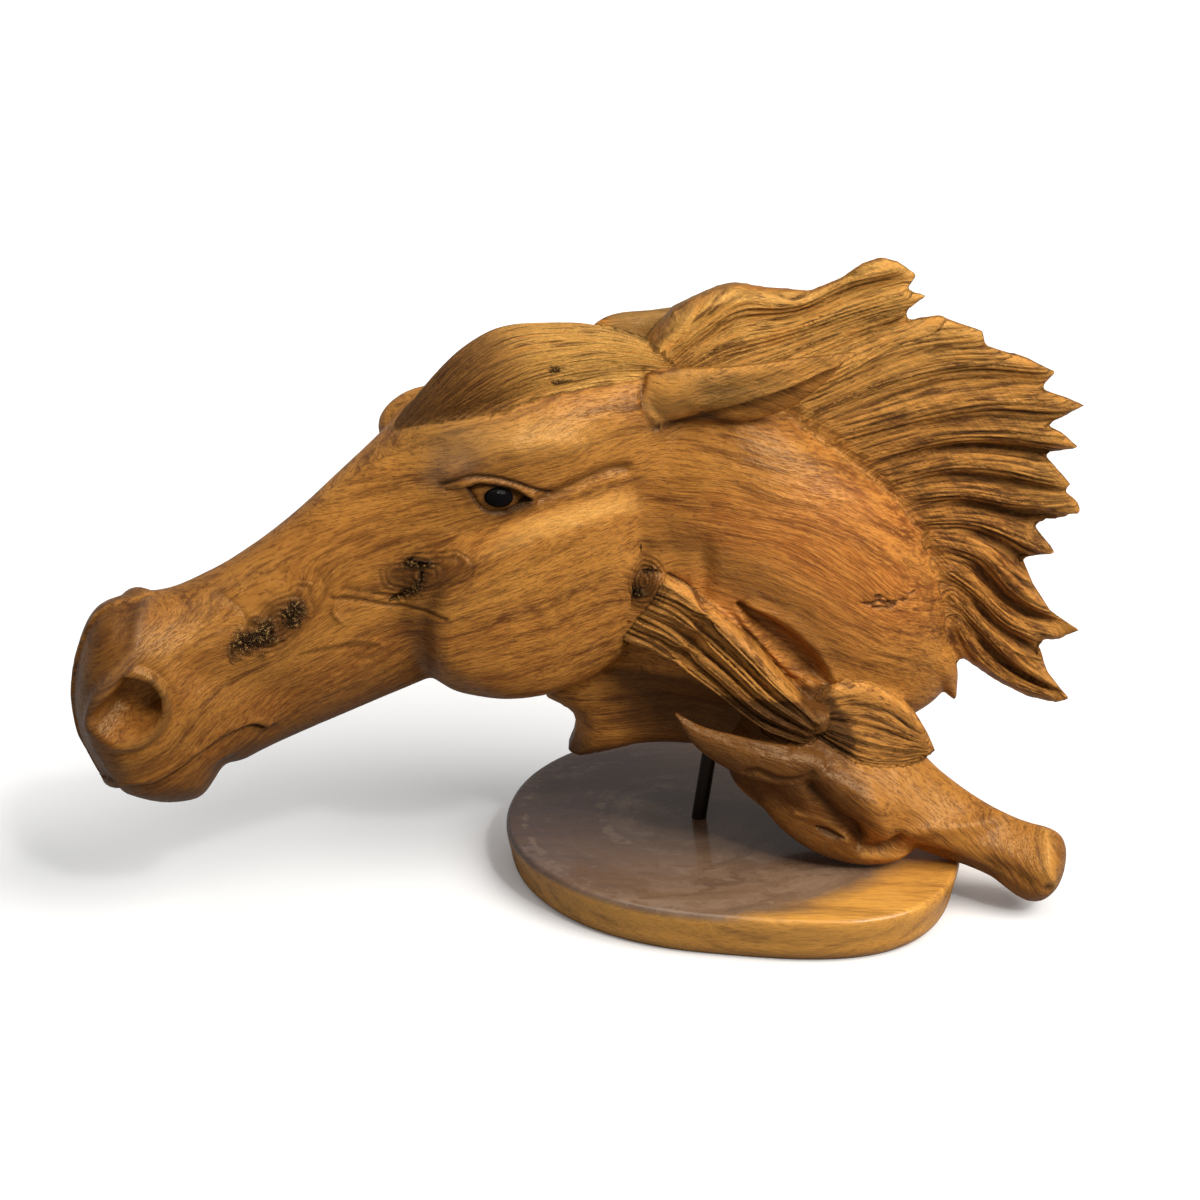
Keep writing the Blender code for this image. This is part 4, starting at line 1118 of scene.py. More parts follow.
def carve_foal_face(skin):
    """The hollow, eye, brow, jaw and muzzle of the foal, and the fold of its near ear."""
    flat = skin.flat()
    x, z = flat.T
    near = ramp(-skin.normals[:, 1], -0.1, 0.3) * ramp(-skin.points[:, 1], 30, 42)
    hollow, along = path_distance(flat, smooth_path(FOAL_HOLLOW, 20))
    hollow = bump(hollow, evenly(FOAL_HOLLOW_HALF)(along))
    slit, along = path_distance(flat, smooth_path(FOAL_EYE, 20))
    slit = bump(slit, 0.5 + 1.3 * np.sin(math.pi * np.clip(along, 0.02, 0.98)))
    nostril = bump(oval_share(x, z, FOAL_NOSTRIL, (1, 1)), 2.2)
    skin.draw(flat, FOAL_LINES, near)
    skin.push -= (5.0 * hollow + 1.8 * slit + 2.0 * nostril) * near
    cheek = 0.72 * ramp(80 - z, 0, 8) * ramp(68 - x, 0, 10) * ramp(x, 2, 10)
    muzzle = most(0.22 * ramp(x, 40, 60), 0.45 * ramp(x, 153, 157))
    # Painted shade in the hollow before the brow, on the cheek and on the muzzle's far facet, and the head
    # darker from the eye forwards
    skin.mark("shade", most(1.1 * hollow, cheek, muzzle) * near)
    lid, strip, ridge = (curve_distance(flat, path) for path in (FOAL_LID, FOAL_STRIP, FOAL_RIDGE))
    lit = most(0.7 * bump(lid, 1.4), bump(strip, 3.0), 0.9 * bump(ridge, 3.0)) * near
    # Painted highlight on the edges that catch the light, which takes back some of the painted shade
    skin.marks["shade"] *= 1 - 0.8 * lit
    skin.mark("bright", 0.6 * lit)
    # Painted shade darkens the eye's slit, the nostril and the deepest part of the hollow
    skin.mark("groove", most(slit, 0.8 * nostril, 0.5 * hollow**2) * near)


# Near ear of the horse as (x, z): the edge of its leaf, the leaf's outline, and the middle of its
# hollow, the step round its root and the shadow below it as Skin.draw takes them
EAR_LEAF_EDGE = ((-17, 246.5), (-6, 249.5), (4.6, 252.9), (22.8, 259.4), (41.2, 267.1), (51, 272.5))
EAR_LEAF = (
    (-44, 262), (-46, 250), (-38, 240), (-16, 246), (5, 252), (23, 259), (51, 273), (20, 271), (-20, 268),
)
# The step round the root and the line below the ear carry painted shade and painted shadow
EAR_LINES = (
    (((-18, 256), (0, 259.5), (20, 264.5), (36, 269)), 0, -1.6, 4.0, {}),
    (((-44.8, 264), (-46, 252), (-44, 245), (-39.6, 239)), 16, -1.2, 1.4, {"shade": (0.6, 1.6)}),
    (
        ((-40, 238.5), (-28, 241), (-15, 243.5), (-4, 240)), 16, 0.0, 1.0,
        {"shade": (0.9, 2.5), "groove": (0.6, 1.2)},
    ),
)


def carve_ear(skin):
    """The edge of the near ear's leaf, its hollow and root, and the fine lines on it."""
    x, z = skin.flat().T
    near = np.flatnonzero((x > -56) & (x < 60) & (z > 232) & (z < 280))
    flat = skin.flat()[near]
    x, z = flat.T
    facing = skin.near()[near] * ramp(-12 - skin.points[near, 1], 0, 5)
    leaf = curve_distance(flat, EAR_LEAF_EDGE, 24)
    above = ramp(z - np.interp(x, *np.array(EAR_LEAF_EDGE).T), -0.4, 0.8)
    on_leaf = ramp(x, -30, -12)
    skin.push[near] += 1.0 * bump(leaf, 1.6) * above * on_leaf * facing
    skin.push[near] -= 2.0 * bump(leaf - 1.0, 2.2) * (1 - above) * on_leaf * facing
    # Painted shade in the fold below the leaf's edge
    skin.mark("groove", 0.9 * bump(leaf - 0.5, 0.8) * (1 - above) * on_leaf * facing, near)
    skin.draw(flat, EAR_LINES, facing, near)
    lines = above * on_leaf * facing
    skin.comb(lines, 60 + leaf / 11, x / 60, near, 0.7)
    # Painted highlight on the leaf towards its tip
    skin.mark("bright", 0.5 * lines * ramp(x, 5, 30), near)


def strands(across, along, per_lock, sharpness, seed, wander):
    """How deep each point lies in a groove between carved strands, from 0 to about 1."""
    drift = Noise(seed)
    place = across * per_lock + wander * (drift(across * 1.7, along * 6) - 0.5)
    index = np.round(place)
    groove = (1 - 2 * np.abs(place - index)) ** sharpness
    return groove * (0.35 + 0.85 * drift(index * 3.7, along * 5))


def carve_hair(skin, patch, edge, per_lock, depth, sharpness, seed, wander=0.5, two_sided=False):
    """Cuts strands inside an outline, into the part of the skin that is a patch's own surface."""
    points = skin.points
    outline = np.array(edge, float)
    (x0, z0), (x1, z1) = outline.min(axis=0) - 1, outline.max(axis=0) + 1
    x, _, z = points.T
    near = np.flatnonzero((x > x0) & (x < x1) & (z > z0) & (z < z1))
    middle, half, across, along = patch.surface(points[near])
    offset = points[near, 1] - middle
    on_patch = 1 - ramp(np.abs(np.abs(offset) - half), 1.4, 3.0)
    facing = np.abs(skin.normals[near, 1]) if two_sided else -skin.normals[near, 1]
    on_patch *= ramp(facing, 0.05, 0.35) * in_outline(points[near][:, [0, 2]], edge)
    cut = strands(across, along, per_lock, sharpness, seed, wander)
    start = 0.07 * (Noise(seed + 50)(across * 9.0, across * 0) - 0.3)
    on_patch *= ramp(along - start, -0.02, 0.04)
    fade = ramp(along - start, 0.0, 0.08) * (1 - 0.5 * ramp(along, 0.85, 1.0))
    skin.push[near] -= depth * cut * fade * on_patch
    skin.mark("groove", np.clip(1.15 * cut * fade, 0, 1) ** 1.7 * on_patch, near)
    skin.comb(on_patch, across, along, near)
    return near, on_patch, across, along


# The lock of the mane from which the furrows get deep
FURROWED_LOCK = 5.5


def carve_mane(skin, depth):
    """Fine strands all over the mane, and deep curving furrows between its lower locks."""
    near, on_mane, across, along = carve_hair(
        skin, Mane(), MANE_EDGE + MANE_ROOT, 5.4, depth, 1.5, 21, two_sided=True
    )
    between = np.abs(across - np.floor(across) - 0.5)
    lower = ramp(across, FURROWED_LOCK - 1.0, FURROWED_LOCK + 1.5)
    furrow = bump(between, 0.13) * ramp(along, 0.12, 0.4) * (1 - ramp(along, 0.85, 1.0)) * on_mane
    skin.push[near] -= (0.4 + 1.8 * lower) * furrow
    # The furrows are darkened: painted shade, deepest between the lower locks
    skin.mark("groove", (0.1 + 0.7 * lower) * furrow, near)
    # Painted light on the upper locks: their grooves are less dark, and they and the tips are paler
    top = 1 - ramp(across, 1.5, 6.5)
    skin.marks["groove"][near] *= 1 - 0.45 * top * on_mane
    skin.mark("bright", (0.1 + 1.5 * top) * on_mane, near)
    skin.mark("bright", 0.55 * ramp(along, 0.5, 0.95) * on_mane, near)
    # Amber lift: painted light on the upper locks, and a warmer tone on the lowest ones
    skin.mark("amber_and_lit", most(top, 0.6 * ramp(across, 7, 10)) * on_mane, near)


def in_outline(flat, outline):
    """1 for points inside a closed outline and 0 for those outside."""
    outline = np.array(outline, float)
    following = np.roll(outline, -1, axis=0)
    inside = np.zeros(len(flat), bool)
    for (x0, z0), (x1, z1) in zip(outline, following):
        if z0 == z1:
            continue
        crosses = (z0 > flat[:, 1]) != (z1 > flat[:, 1])
        inside ^= crosses & (flat[:, 0] < (x1 - x0) * (flat[:, 1] - z0) / (z1 - z0) + x0)
    return inside.astype(float)


def carve_forelock(skin, horse, depth):
    """Fine cuts along the forelock, which is a form of its own between the ears."""
    a, d, l = horse.local(skin.points)
    start, end = FORELOCK_STATIONS[0][0], FORELOCK_STATIONS[-1][0]
    near = np.flatnonzero((a > start) & (a < end) & (d > 30) & (np.abs(l) < 32))
    top, bottom, half, level = (curve(a[near]) for curve in section_curves(FORELOCK_STATIONS))
    reach = np.where(d[near] >= level, top - level, level - bottom)
    x, y = l[near] / half, (d[near] - level) / reach
    size = (np.abs(x) ** SECTION_ROUNDNESS + np.abs(y) ** SECTION_ROUNDNESS) ** (1 / SECTION_ROUNDNESS)
    on_form = (1 - ramp(np.abs(size - 1), 0.08, 0.16)) * ramp(y, -0.5, -0.2)
    turn = np.arctan2(x, y) / math.pi * 14
    along = (a[near] - start) / (end - start)
    cut = strands(turn, along, 3.6, 2.0, 31, wander=1.6)
    skin.push[near] -= depth * cut * on_form
    skin.mark("groove", 0.6 * np.clip(cut, 0, 1) ** 1.5 * on_form, near)
    skin.comb(on_form, 0.55 * turn + 40, along, near)
    # Painted shade on the forelock towards the brow, and painted highlight on its part by the poll
    skin.mark("shade", 0.75 * ramp(a[near], 25, 80) * on_form, near)
    skin.mark("bright", 1.7 * (1 - ramp(a[near], 25, 75)) * on_form, near)


def carve_waves(skin):
    """The slight unevenness that hand tools leave on smooth wood."""
    broad, small = Noise(11), Noise(12)
    skin.push += 0.55 * (broad.solid(skin.points / 17) - 0.5)
    skin.push += 0.16 * (small.solid(skin.points / 6) - 0.5)


# Painted shade on the neck as (x, z): a dark reddish band above the foal's mane, and the shadow below the
# near ear
NECK_SHADE = ((-38, 190), (-11, 176), (26, 151), (45, 126))
NECK_EAR_SHADOW = ((-43, 243), (6, 240), (46, 219))
# Middle and half sizes, as (x, z), of the painted light on the neck's swell, and of five spots: olive tints
# on the near ear, at its root and at the temple, and painted highlights on the pale lump beside the ear and
# over the eye
NECK_PAINTED_LIGHT = ((30, 165), (95, 62))
TINT_AND_HIGHLIGHT_SPOTS = (
    ((-10, 256), (19, 8)), ((-38, 246), (9, 9)), ((-128, 240), (30, 10)), ((-33, 254), (3.5, 5)),
    ((-88, 240), (30, 8)),
)


def tints_and_painted_light(skin, horse):
    """Olive patches, painted shade and painted light: shade on the neck, under the ear, on the muzzle's
    front and under the jaw and on the foal's neck, light on the neck's swell, the near ear, a lump beside
    it and over the eye.
    """
    x, y, z = skin.points.T
    flat, facing = skin.flat(), skin.near()
    ear, root, temple, lump, over_eye = (bump(oval_share(x, z, *spot), 1.0) for spot in TINT_AND_HIGHLIGHT_SPOTS)
    skin.mark("olive", most(0.9 * ear, 0.7 * root, 0.7 * temple) * facing)
    skin.marks["olive"] *= 1 - 0.8 * lump
    leaf = in_outline(flat, EAR_LEAF) * facing
    neck = ramp(oval_share(x, z, *NECK_PAINTED_LIGHT), 1.0, 0.45) * (y < 0) * facing
    far_ear = ramp(y, 8, 14) * ramp(z, 262, 268) * ramp(x, -64, -58) * ramp(-x, -6, 0)
    # Painted shade: a broad dark band on the neck above the foal's mane, and the shadow below the near ear
    dark = 0.55 * bump(curve_distance(flat, NECK_SHADE, 16), 11.0)
    dark = most(dark, 0.4 * bump(curve_distance(flat, NECK_EAR_SHADOW, 16), 4.0))
    dark *= facing * ramp(-30 - y, 0, 8)
    skin.mark("shade", dark)
    # Painted light on the neck's swell and on the near ear's leaf
    skin.mark("amber_and_lit", most(0.9 * neck * (1 - dark), leaf))
    skin.mark("olive", 0.9 * far_ear)
    # Painted highlights on the near ear's leaf, on the lump beside it and over the eye; the far ear is
    # paler
    skin.mark("bright", most(0.75 * leaf, 0.6 * far_ear))
    skin.mark("bright", most(0.8 * lump, 0.6 * over_eye) * facing)
    a = horse.local(skin.points)[0]
    # Painted shade on the muzzle's front, which faces away from the light, and under the jaw; the nose
    # grows darker towards the muzzle
    front = ramp(skin.normals @ horse.along, 0.25, 0.7) * ramp(a, 245, 275)
    muzzle = 0.40 * ramp(a, 120, 225)
    under = 0.5 * ramp(-(skin.normals @ horse.dorsal), 0.1, 0.7) * ramp(a, 90, 150)
    skin.mark("shade", most(0.75 * front, muzzle, muzzle + under))
    # Painted shade on the foal's neck, recessed under the horse's throat
    plate = ramp(70 - z, -6, 6) * ramp(-x - 8, 0, 30) * ramp(-x, -20, 20)
    inside = in_outline(flat, FOAL_NECK_EDGE) * (z < 112) * (a < 90)
    skin.mark("shade", 0.95 * most(plate, inside * ramp(-a, -78, -60)))


def mesh_object(name, points, faces):
    """An object whose mesh is given in millimetres."""
    mesh = bpy.data.meshes.new(name)
    mesh.from_pydata((points * MM).tolist(), [], faces)
    mesh.update()
    return placed_in_scene(name, mesh)


def apply_modifiers(obj):
    """Replaces an object's mesh by the one that its modifiers make."""
    graph = bpy.context.evaluated_depsgraph_get()
    graph.update()
    mesh = bpy.data.meshes.new_from_object(obj.evaluated_get(graph))
    obj.modifiers.clear()
    old = obj.data
    obj.data = mesh
    bpy.data.meshes.remove(old)


def detail_faces(points, quads, horse):
    """Which faces carry fine carving: hair, eyes, muzzle, knots, near ear and the foal's face."""
    centre = points[quads].mean(axis=1)
    flat = centre[:, [0, 2]]
    a, d, l = horse.local(centre)
    on_near_side = centre[:, 1] < 0
    chosen = in_outline(flat, MANE_EDGE + MANE_ROOT) > 0
    for edge in (FOAL_MANE_CUTS, FOAL_FORELOCK[0]):
        chosen |= (in_outline(flat, edge) > 0) & on_near_side
    chosen |= (np.hypot(a - EYE_AT[0], d - EYE_AT[1]) < 26) & (np.abs(l) > 20)
    chosen |= (a > 220) & (np.abs(d + 22) < 9)
    chosen |= (np.hypot(a - NOSTRIL_MIDDLE[0], d - NOSTRIL_MIDDLE[1]) < 27) & (np.abs(l) > 8)
    chosen |= (a > -26) & (a < 112) & (d > 44) & (np.abs(l) < 31)
    for spot, half, _, _ in KNOTS[:FINE_KNOTS]:
        away = np.hypot(flat[:, 0] - spot[0], flat[:, 1] - spot[1])
        chosen |= (away < max(half) + 2) & on_near_side
    chosen |= path_distance(flat, EAR_LEAF_EDGE)[0] < 4
    chosen |= (path_distance(flat, FOAL_EYE)[0] < 12) & (centre[:, 1] < -30)
    return chosen


# Cell size in which the broad forms are fused first, how often they are softened, and how often
# the whole carving is
BODY_STEP = 1.6
BODY_ROUNDS = 12
WHOLE_ROUNDS = 2
# For the foal's mane and forelock: the outline of the cuts, strands to each lock, their share of
# the mane's depth, and the seed
FOAL_CUTS = (
    (FOAL_MANE, FOAL_MANE_CUTS, 3.2, 1.9, 22),
    (FOAL_FORELOCK, FOAL_FORELOCK[0], 2.4, 2.0, 23),
)


def carved_skin(settings):
    """The carving's mesh before it is carved, and its skin with the carving in it, in millimetres."""
    horse, foal = horse_frame(), foal_frame()
    step = settings.surface_step / MM
    body = fused_points(*join(broad_forms(horse, foal)), BODY_STEP, BODY_ROUNDS)
    forms = [body] + hair_forms(horse, step)
    points, quads = fused_points(*join(forms), step, WHOLE_ROUNDS)
    points, faces = refined(points, quads, detail_faces(points, quads, horse))
    probe = mesh_object("carving", points, faces)
    normals = np.empty(len(points) * 3)
    probe.data.vertex_normals.foreach_get("vector", normals)
    skin = Skin(points, normals.reshape(-1, 3))
    carve_waves(skin)
    carve_face(skin, horse)
    carve_eye(skin, horse)
    carve_nostril(skin, horse)
    carve_mouth(skin, horse)
    carve_knots(skin)
    carve_far_ear(skin)
    carve_foal_face(skin)
    carve_ear(skin)
    depth = settings.strand_depth / MM
    carve_mane(skin, depth)
    for patch, cuts, per_lock, share, seed in FOAL_CUTS:
        near, on_patch, _, _ = carve_hair(
            skin, HairPatch(*patch), cuts, per_lock, share * depth, 1.3, seed, wander=0.3
        )
        skin.mark("bright", 0.45 * on_patch, near)
        skin.mark("amber_and_lit", 0.7 * on_patch, near)
    carve_forelock(skin, horse, 0.7 * depth)
    tints_and_painted_light(skin, horse)
    return probe, skin


def drop_specks(obj):
    """Delete what the reduction leaves of a speck: two faces back to back, joined to nothing else."""
    surface = bmesh.new()
    surface.from_mesh(obj.data)
    loose = [vert for vert in surface.verts if len(vert.link_faces) < 3]
    bmesh.ops.delete(surface, geom=loose, context="VERTS")
    surface.to_mesh(obj.data)
    surface.free()


def build_carving(settings):
    """The whole carving as one mesh with its marks as attributes."""
    obj, skin = carved_skin(settings)
    moved = skin.points + skin.normals * skin.push[:, None] + skin.shift
    obj.data.vertices.foreach_set("co", (moved * MM).ravel())
    for name, values in skin.marks.items():
        attribute = obj.data.attributes.new(name, "FLOAT", "POINT")
        attribute.data.foreach_set("value", values.astype(np.float32))
    obj.data.update()
    obj.data.calc_loop_triangles()
    reduce = obj.modifiers.new("reduce", "DECIMATE")
    reduce.ratio = min(1.0, settings.triangles / len(obj.data.loop_triangles))
    reduce.use_collapse_triangulate = True
    apply_modifiers(obj)
    drop_specks(obj)
    obj.data.shade_smooth()
    return obj


class Signal:
    """What a socket gives. The signs of arithmetic join it to other values through math nodes."""

    def __init__(self, tree, socket):
        self.tree, self.socket = tree, socket

    def __add__(self, other):
        return self.tree.math("ADD", self, other)

    def __sub__(self, other):
        return self.tree.math("SUBTRACT", self, other)

    def __mul__(self, other):
        return self.tree.math("MULTIPLY", self, other)

    def __truediv__(self, other):
        return self.tree.math("DIVIDE", self, other)


class Tree:
    """Adds nodes to a material or a group and joins their sockets."""

    def __init__(self, tree):
        self.tree = tree
        self.tree.nodes.clear()

    def node(self, kind, inputs=(), **settings):
        node = self.tree.nodes.new(kind)
        for name, value in settings.items():
            setattr(node, name, value)
        for key, value in dict(inputs).items():
            self.set(node.inputs[key], value)
        return node

    def set(self, socket, value):
        if isinstance(value, Signal):
            self.tree.links.new(value.socket, socket)
        elif socket.type == "RGBA" and len(value) == 3:
            socket.default_value = (*value, 1.0)
        else:
            socket.default_value = value

    def given(self, node):
        """Everything that a node puts out, by the names of its sockets."""
        return {socket.name: Signal(self, socket) for socket in node.outputs}

    def out(self, output, kind, inputs=(), **settings):
        """One output of a new node."""
        return Signal(self, self.node(kind, inputs, **settings).outputs[output])

    def math(self, operation, *values, clamp=False):
        return self.out(0, "ShaderNodeMath", enumerate(values), operation=operation, use_clamp=clamp)

    def vector(self, operation, *values):
        return self.out(0, "ShaderNodeVectorMath", enumerate(values), operation=operation)

    def scaled(self, vector, amount):
        return self.out(0, "ShaderNodeVectorMath", {0: vector, "Scale": amount}, operation="SCALE")

    def mix(self, factor, first, second):
        return self.out(2, "ShaderNodeMix", {0: factor, 6: first, 7: second}, data_type="RGBA")

    def remap(self, value, low, high, to_low=0.0, to_high=1.0):
        return self.out(0, "ShaderNodeMapRange", enumerate((value, low, high, to_low, to_high)))

    def noise(self, vector, scale, detail, roughness=0.5):
        """Noise from 0 to 1. The scale is one number, or one for each axis."""
        if isinstance(scale, tuple):
            vector, scale = self.vector("MULTIPLY", vector, scale), 1.0
        sockets = {"Vector": vector, "Scale": scale, "Detail": detail, "Roughness": roughness}
        return self.out("Fac", "ShaderNodeTexNoise", sockets)

    def combine(self, x, y, z):
        return self.out(0, "ShaderNodeCombineXYZ", enumerate((x, y, z)))

    def split(self, vector):
        return self.given(self.node("ShaderNodeSeparateXYZ", {0: vector})).values()

    def bump(self, height, strength, distance):
        sockets = {"Height": height, "Strength": strength, "Distance": distance}
        return self.out("Normal", "ShaderNodeBump", sockets)

    def shared(self, name, maker, values):
        """A node group that is built once, placed here with its own values."""
        group = bpy.data.node_groups.get(name) or maker(name)
        return self.given(self.node("ShaderNodeGroup", values, node_tree=group))


SOCKET_KINDS = {1: "Float", 3: "Vector", 4: "Color"}


def new_group(name, inputs, outputs):
    """An empty node group with named sockets. Each has a default: a number, a place or a colour."""
    group = bpy.data.node_groups.new(name, "ShaderNodeTree")
    for direction, sockets in (("INPUT", inputs), ("OUTPUT", outputs)):
        for label, default in sockets.items():
            kind = "NodeSocket" + SOCKET_KINDS[np.size(default)]
            socket = group.interface.new_socket(label, in_out=direction, socket_type=kind)
            socket.default_value = default
    tree = Tree(group)
    return group, tree, tree.given(tree.node("NodeGroupInput")), tree.node("NodeGroupOutput").inputs


def knot_lift_group(name):
    """How far a knot pushes the growth rings outwards, seen along Y."""
    inputs = {
        "Position": (0, 0, 0), "Middle X": 0.0, "Middle Z": 0.0, "Half Length": 10.0,
        "Half Height": 10.0, "Turn": 0.0, "Lift": 5.0,
    }
    group, tree, given, made = new_group(name, inputs, {"Lift": 0.0})
    x, _, z = tree.split(given["Position"])
    x, z = x - given["Middle X"], z - given["Middle Z"]
    cosine, sine = tree.math("COSINE", given["Turn"]), tree.math("SINE", given["Turn"])
    long = (x * cosine + z * sine) / given["Half Length"]
    short = (z * cosine - x * sine) / given["Half Height"]
    fall = tree.math("EXPONENT", (long * long + short * short) * -1.0)
    tree.set(made["Lift"], fall * given["Lift"])
    return group


# Figure of the wood. For each noise: how it is stretched along the grain, across the rings and
# round the pith, its detail and its roughness
GRAIN_NOISES = {
    "broad": ((0.004, 0.036, 0.016), 3.0, 0.5),
    "red": ((0.009, 0.030, 0.02), 4.0, 0.6),
    "band": ((0.012, 0.17, 0.06), 4.0, 0.6),
    "curl": ((0.10, 0.22, 0.22), 3.0, 0.6),
    "fibre": ((0.05, 1.05, 0.9), 3.0, 0.65),
    "pore": ((0.26, 2.3, 1.9), 1.0, 0.5),
}
# Its layers of colour, from the first: the noise, the values between which the layer comes in,
# how strong it gets, and its colour
GRAIN_LAYERS = (
    ("red", 0.50, 0.66, 0.6, "Red"),
    ("band", 0.48, 0.66, 0.8, "Dark"),
    ("curl", 0.50, 0.66, 0.5, "Light"),
    ("fibre", 0.50, 0.66, 0.55, "Dark"),
    ("fibre", 0.50, 0.36, 0.65, "Light"),
)
# How far the rings sway in millimetres, and how much of the noise a turn round the pith takes
GRAIN_SWAY = 22.0
GRAIN_ROUND = 110.0


def wood_grain_group(name):
    """Growth rings, streaks and pores of a hardwood, whose pith runs along X and bends in an arch."""
    inputs = {
        "Position": (0, 0, 0), "Ring Shift": 0.0, "Pith Y": 60.0, "Pith Z": -80.0, "Arch X": 0.0,
        "Arch": 0.0, "Right Arch": 0.0, "Light": (0.6, 0.3, 0.1, 1), "Middle": (0.4, 0.2, 0.05, 1),
        "Red": (0.3, 0.1, 0.02, 1), "Dark": (0.1, 0.05, 0.02, 1), "Figure": 1.0, "Pores": 1.0,
    }
    outputs = {"Color": (0.5, 0.5, 0.5, 1), "Roughness": 0.0, "Height": 0.0}
    group, tree, given, made = new_group(name, inputs, outputs)
    x, y, z = tree.split(given["Position"])
    from_arch = x - given["Arch X"]
    right = tree.math("MAXIMUM", from_arch, 0.0)
    bend = from_arch * from_arch * given["Arch"] + right * right * given["Right Arch"]
    up, back = z + bend - given["Pith Z"], y - given["Pith Y"]
    sway = tree.noise(given["Position"], (0.008, 0.016, 0.016), 2.0)
    ring = tree.math("SQRT", up * up + back * back) + given["Ring Shift"] + sway * GRAIN_SWAY
    grain = tree.combine(x, ring, tree.math("ARCTAN2", back, up) * GRAIN_ROUND)
    noise = {key: tree.noise(grain, *values) for key, values in GRAIN_NOISES.items()}
    colour = tree.mix(tree.remap(noise["broad"], 0.36, 0.64), given["Middle"], given["Light"])
    for key, low, high, strength, tone in GRAIN_LAYERS:
        mask = tree.remap(noise[key], low, high, 0.0, strength) * given["Figure"]
        colour = tree.mix(mask, colour, given[tone])
    pores = tree.remap(noise["pore"], 0.56, 0.68, 0.0, 0.45) * given["Pores"]
    tree.set(made["Color"], tree.mix(pores, colour, given["Dark"]))
    tree.set(made["Roughness"], pores * 0.25)
    tree.set(made["Height"], noise["fibre"] * 0.5 + noise["curl"] * 1.6 - pores * 0.5)
    return group


def wood_grain(tree, values):
    """Colour, added roughness and height of the grain, with a material's own values."""
    return tree.shared("wood grain", wood_grain_group, values).values()


def new_material(name, constants):
    """A material with one shader, whose constant values are given by socket."""
    material = bpy.data.materials.new(name)
    material.use_nodes = True
    tree = Tree(material.node_tree)
    shader = tree.node("ShaderNodeBsdfPrincipled", constants)
    tree.tree.links.new(shader.outputs[0], tree.node("ShaderNodeOutputMaterial").inputs["Surface"])
    return material, tree, shader.inputs


def position_in_mm(tree):
    return tree.scaled(tree.out("Object", "ShaderNodeTexCoord"), 1 / MM)


# Tint of the light that the varnish throws back, how much the amber lift, mostly painted light, gains on
# the plain wood, and the tones of the olive patches, of the dusky tint (painted sheen on the muzzle's
# ridge, and in the brow's hollow), of painted shade, of grooves (painted shade in the cuts, and dark
# cracks) and of pitch with painted golden glints
VARNISH_TINT = (1.0, 0.72, 0.42)
AMBER_GAIN = (1.38, 1.30, 1.40)
OLIVE_TONE = (0.12, 0.078, 0.028)
DUSK_AND_SHEEN_TONE = (0.16, 0.10, 0.065)
SHADE_TONE = (0.070, 0.023, 0.006)
GROOVE_TONE = (0.032, 0.011, 0.004)
PITCH_TONES = ((0.030, 0.012, 0.005), (0.50, 0.28, 0.09))
# Strands of colour to each lock across the hair, and to its whole length along it
STRANDS_ACROSS = 9.0
STRANDS_ALONG = 5.0
# The grain swerves this much wider than a knot is
KNOT_REACH = 1.1


def carving_material(settings):
    """Varnished wood: its grain, then the carved and painted marks, painted light and shade among them,
    from the palest to the darkest.
    """
    material, tree, shader = new_material(
        "varnished_hardwood", {"Specular IOR Level": 0.35, "Specular Tint": VARNISH_TINT}
    )
    position = position_in_mm(tree)
    lifts = []
    for (x, z), (length, height), turn, lift in KNOTS:
        values = {
            "Position": position, "Middle X": x, "Middle Z": z, "Half Length": KNOT_REACH * length,
            "Half Height": KNOT_REACH * height, "Turn": turn, "Lift": lift,
        }
        lifts.append(tree.shared("knot lift", knot_lift_group, values)["Lift"])
    colour, rough, height = wood_grain(tree, {
        "Position": position, "Ring Shift": sum(lifts[1:], lifts[0]), "Pith Y": 60.0,
        "Pith Z": -90.0, "Arch X": -35.0, "Arch": 0.0011, "Right Arch": 0.0020,
        "Light": settings.honey, "Middle": settings.brown, "Red": settings.red,
        "Dark": settings.dark,
    })
    mark = {name: tree.out("Fac", "ShaderNodeAttribute", attribute_name=name) for name in MARKS}
    strand = tree.combine(mark["across"] * STRANDS_ACROSS, mark["along"] * STRANDS_ALONG, 0.0)
    lines = tree.noise(strand, 1.0, 4.0, 0.7)
    sparkle = tree.noise(tree.scaled(position, 0.55), 1.0, 3.0, 0.75)
    for mask, tone in (
        # Amber lift: mostly painted light on lit parts
        (mark["amber_and_lit"], tree.vector("MULTIPLY", colour, AMBER_GAIN)),
        # Gold: painted highlights, and paler wood
        (tree.math("MULTIPLY", mark["bright"], 0.5, clamp=True), settings.gold),
        # Pale lines along the strands: painted highlights
        (tree.remap(lines, 0.50, 0.40, 0.0, 0.85) * mark["hair"], settings.lit_hair),
        (tree.remap(lines, 0.51, 0.62, 0.0, 0.85) * mark["hair"], settings.dark),
        (mark["olive"] * 0.6, OLIVE_TONE),
        # Dusky tint: painted sheen on the muzzle's ridge
        (mark["dusk"] * 0.55, DUSK_AND_SHEEN_TONE),
        # Painted shade, and the dark wood round knots
        (tree.math("MULTIPLY", mark["shade"], 0.85, clamp=True), SHADE_TONE),
        # Grooves: painted shade in the cuts, and dark cracks
        (mark["groove"] * 0.9, GROOVE_TONE),
        # Pitch with painted golden glints
        (mark["resin"], tree.mix(tree.remap(sparkle, 0.55, 0.62), *PITCH_TONES)),
    ):
        colour = tree.mix(mask, colour, tone)
    tree.set(shader["Base Color"], colour)
    roughness = rough + 0.31 + mark["groove"] * 0.25
    tree.set(shader["Roughness"], tree.math("SUBTRACT", roughness, mark["resin"] * 0.24, clamp=True))
    relief = height + lines * mark["hair"] * 5.5 + sparkle * mark["resin"] * 9.0
    tree.set(shader["Normal"], tree.bump(relief, 1.0, 0.0005))
    return material


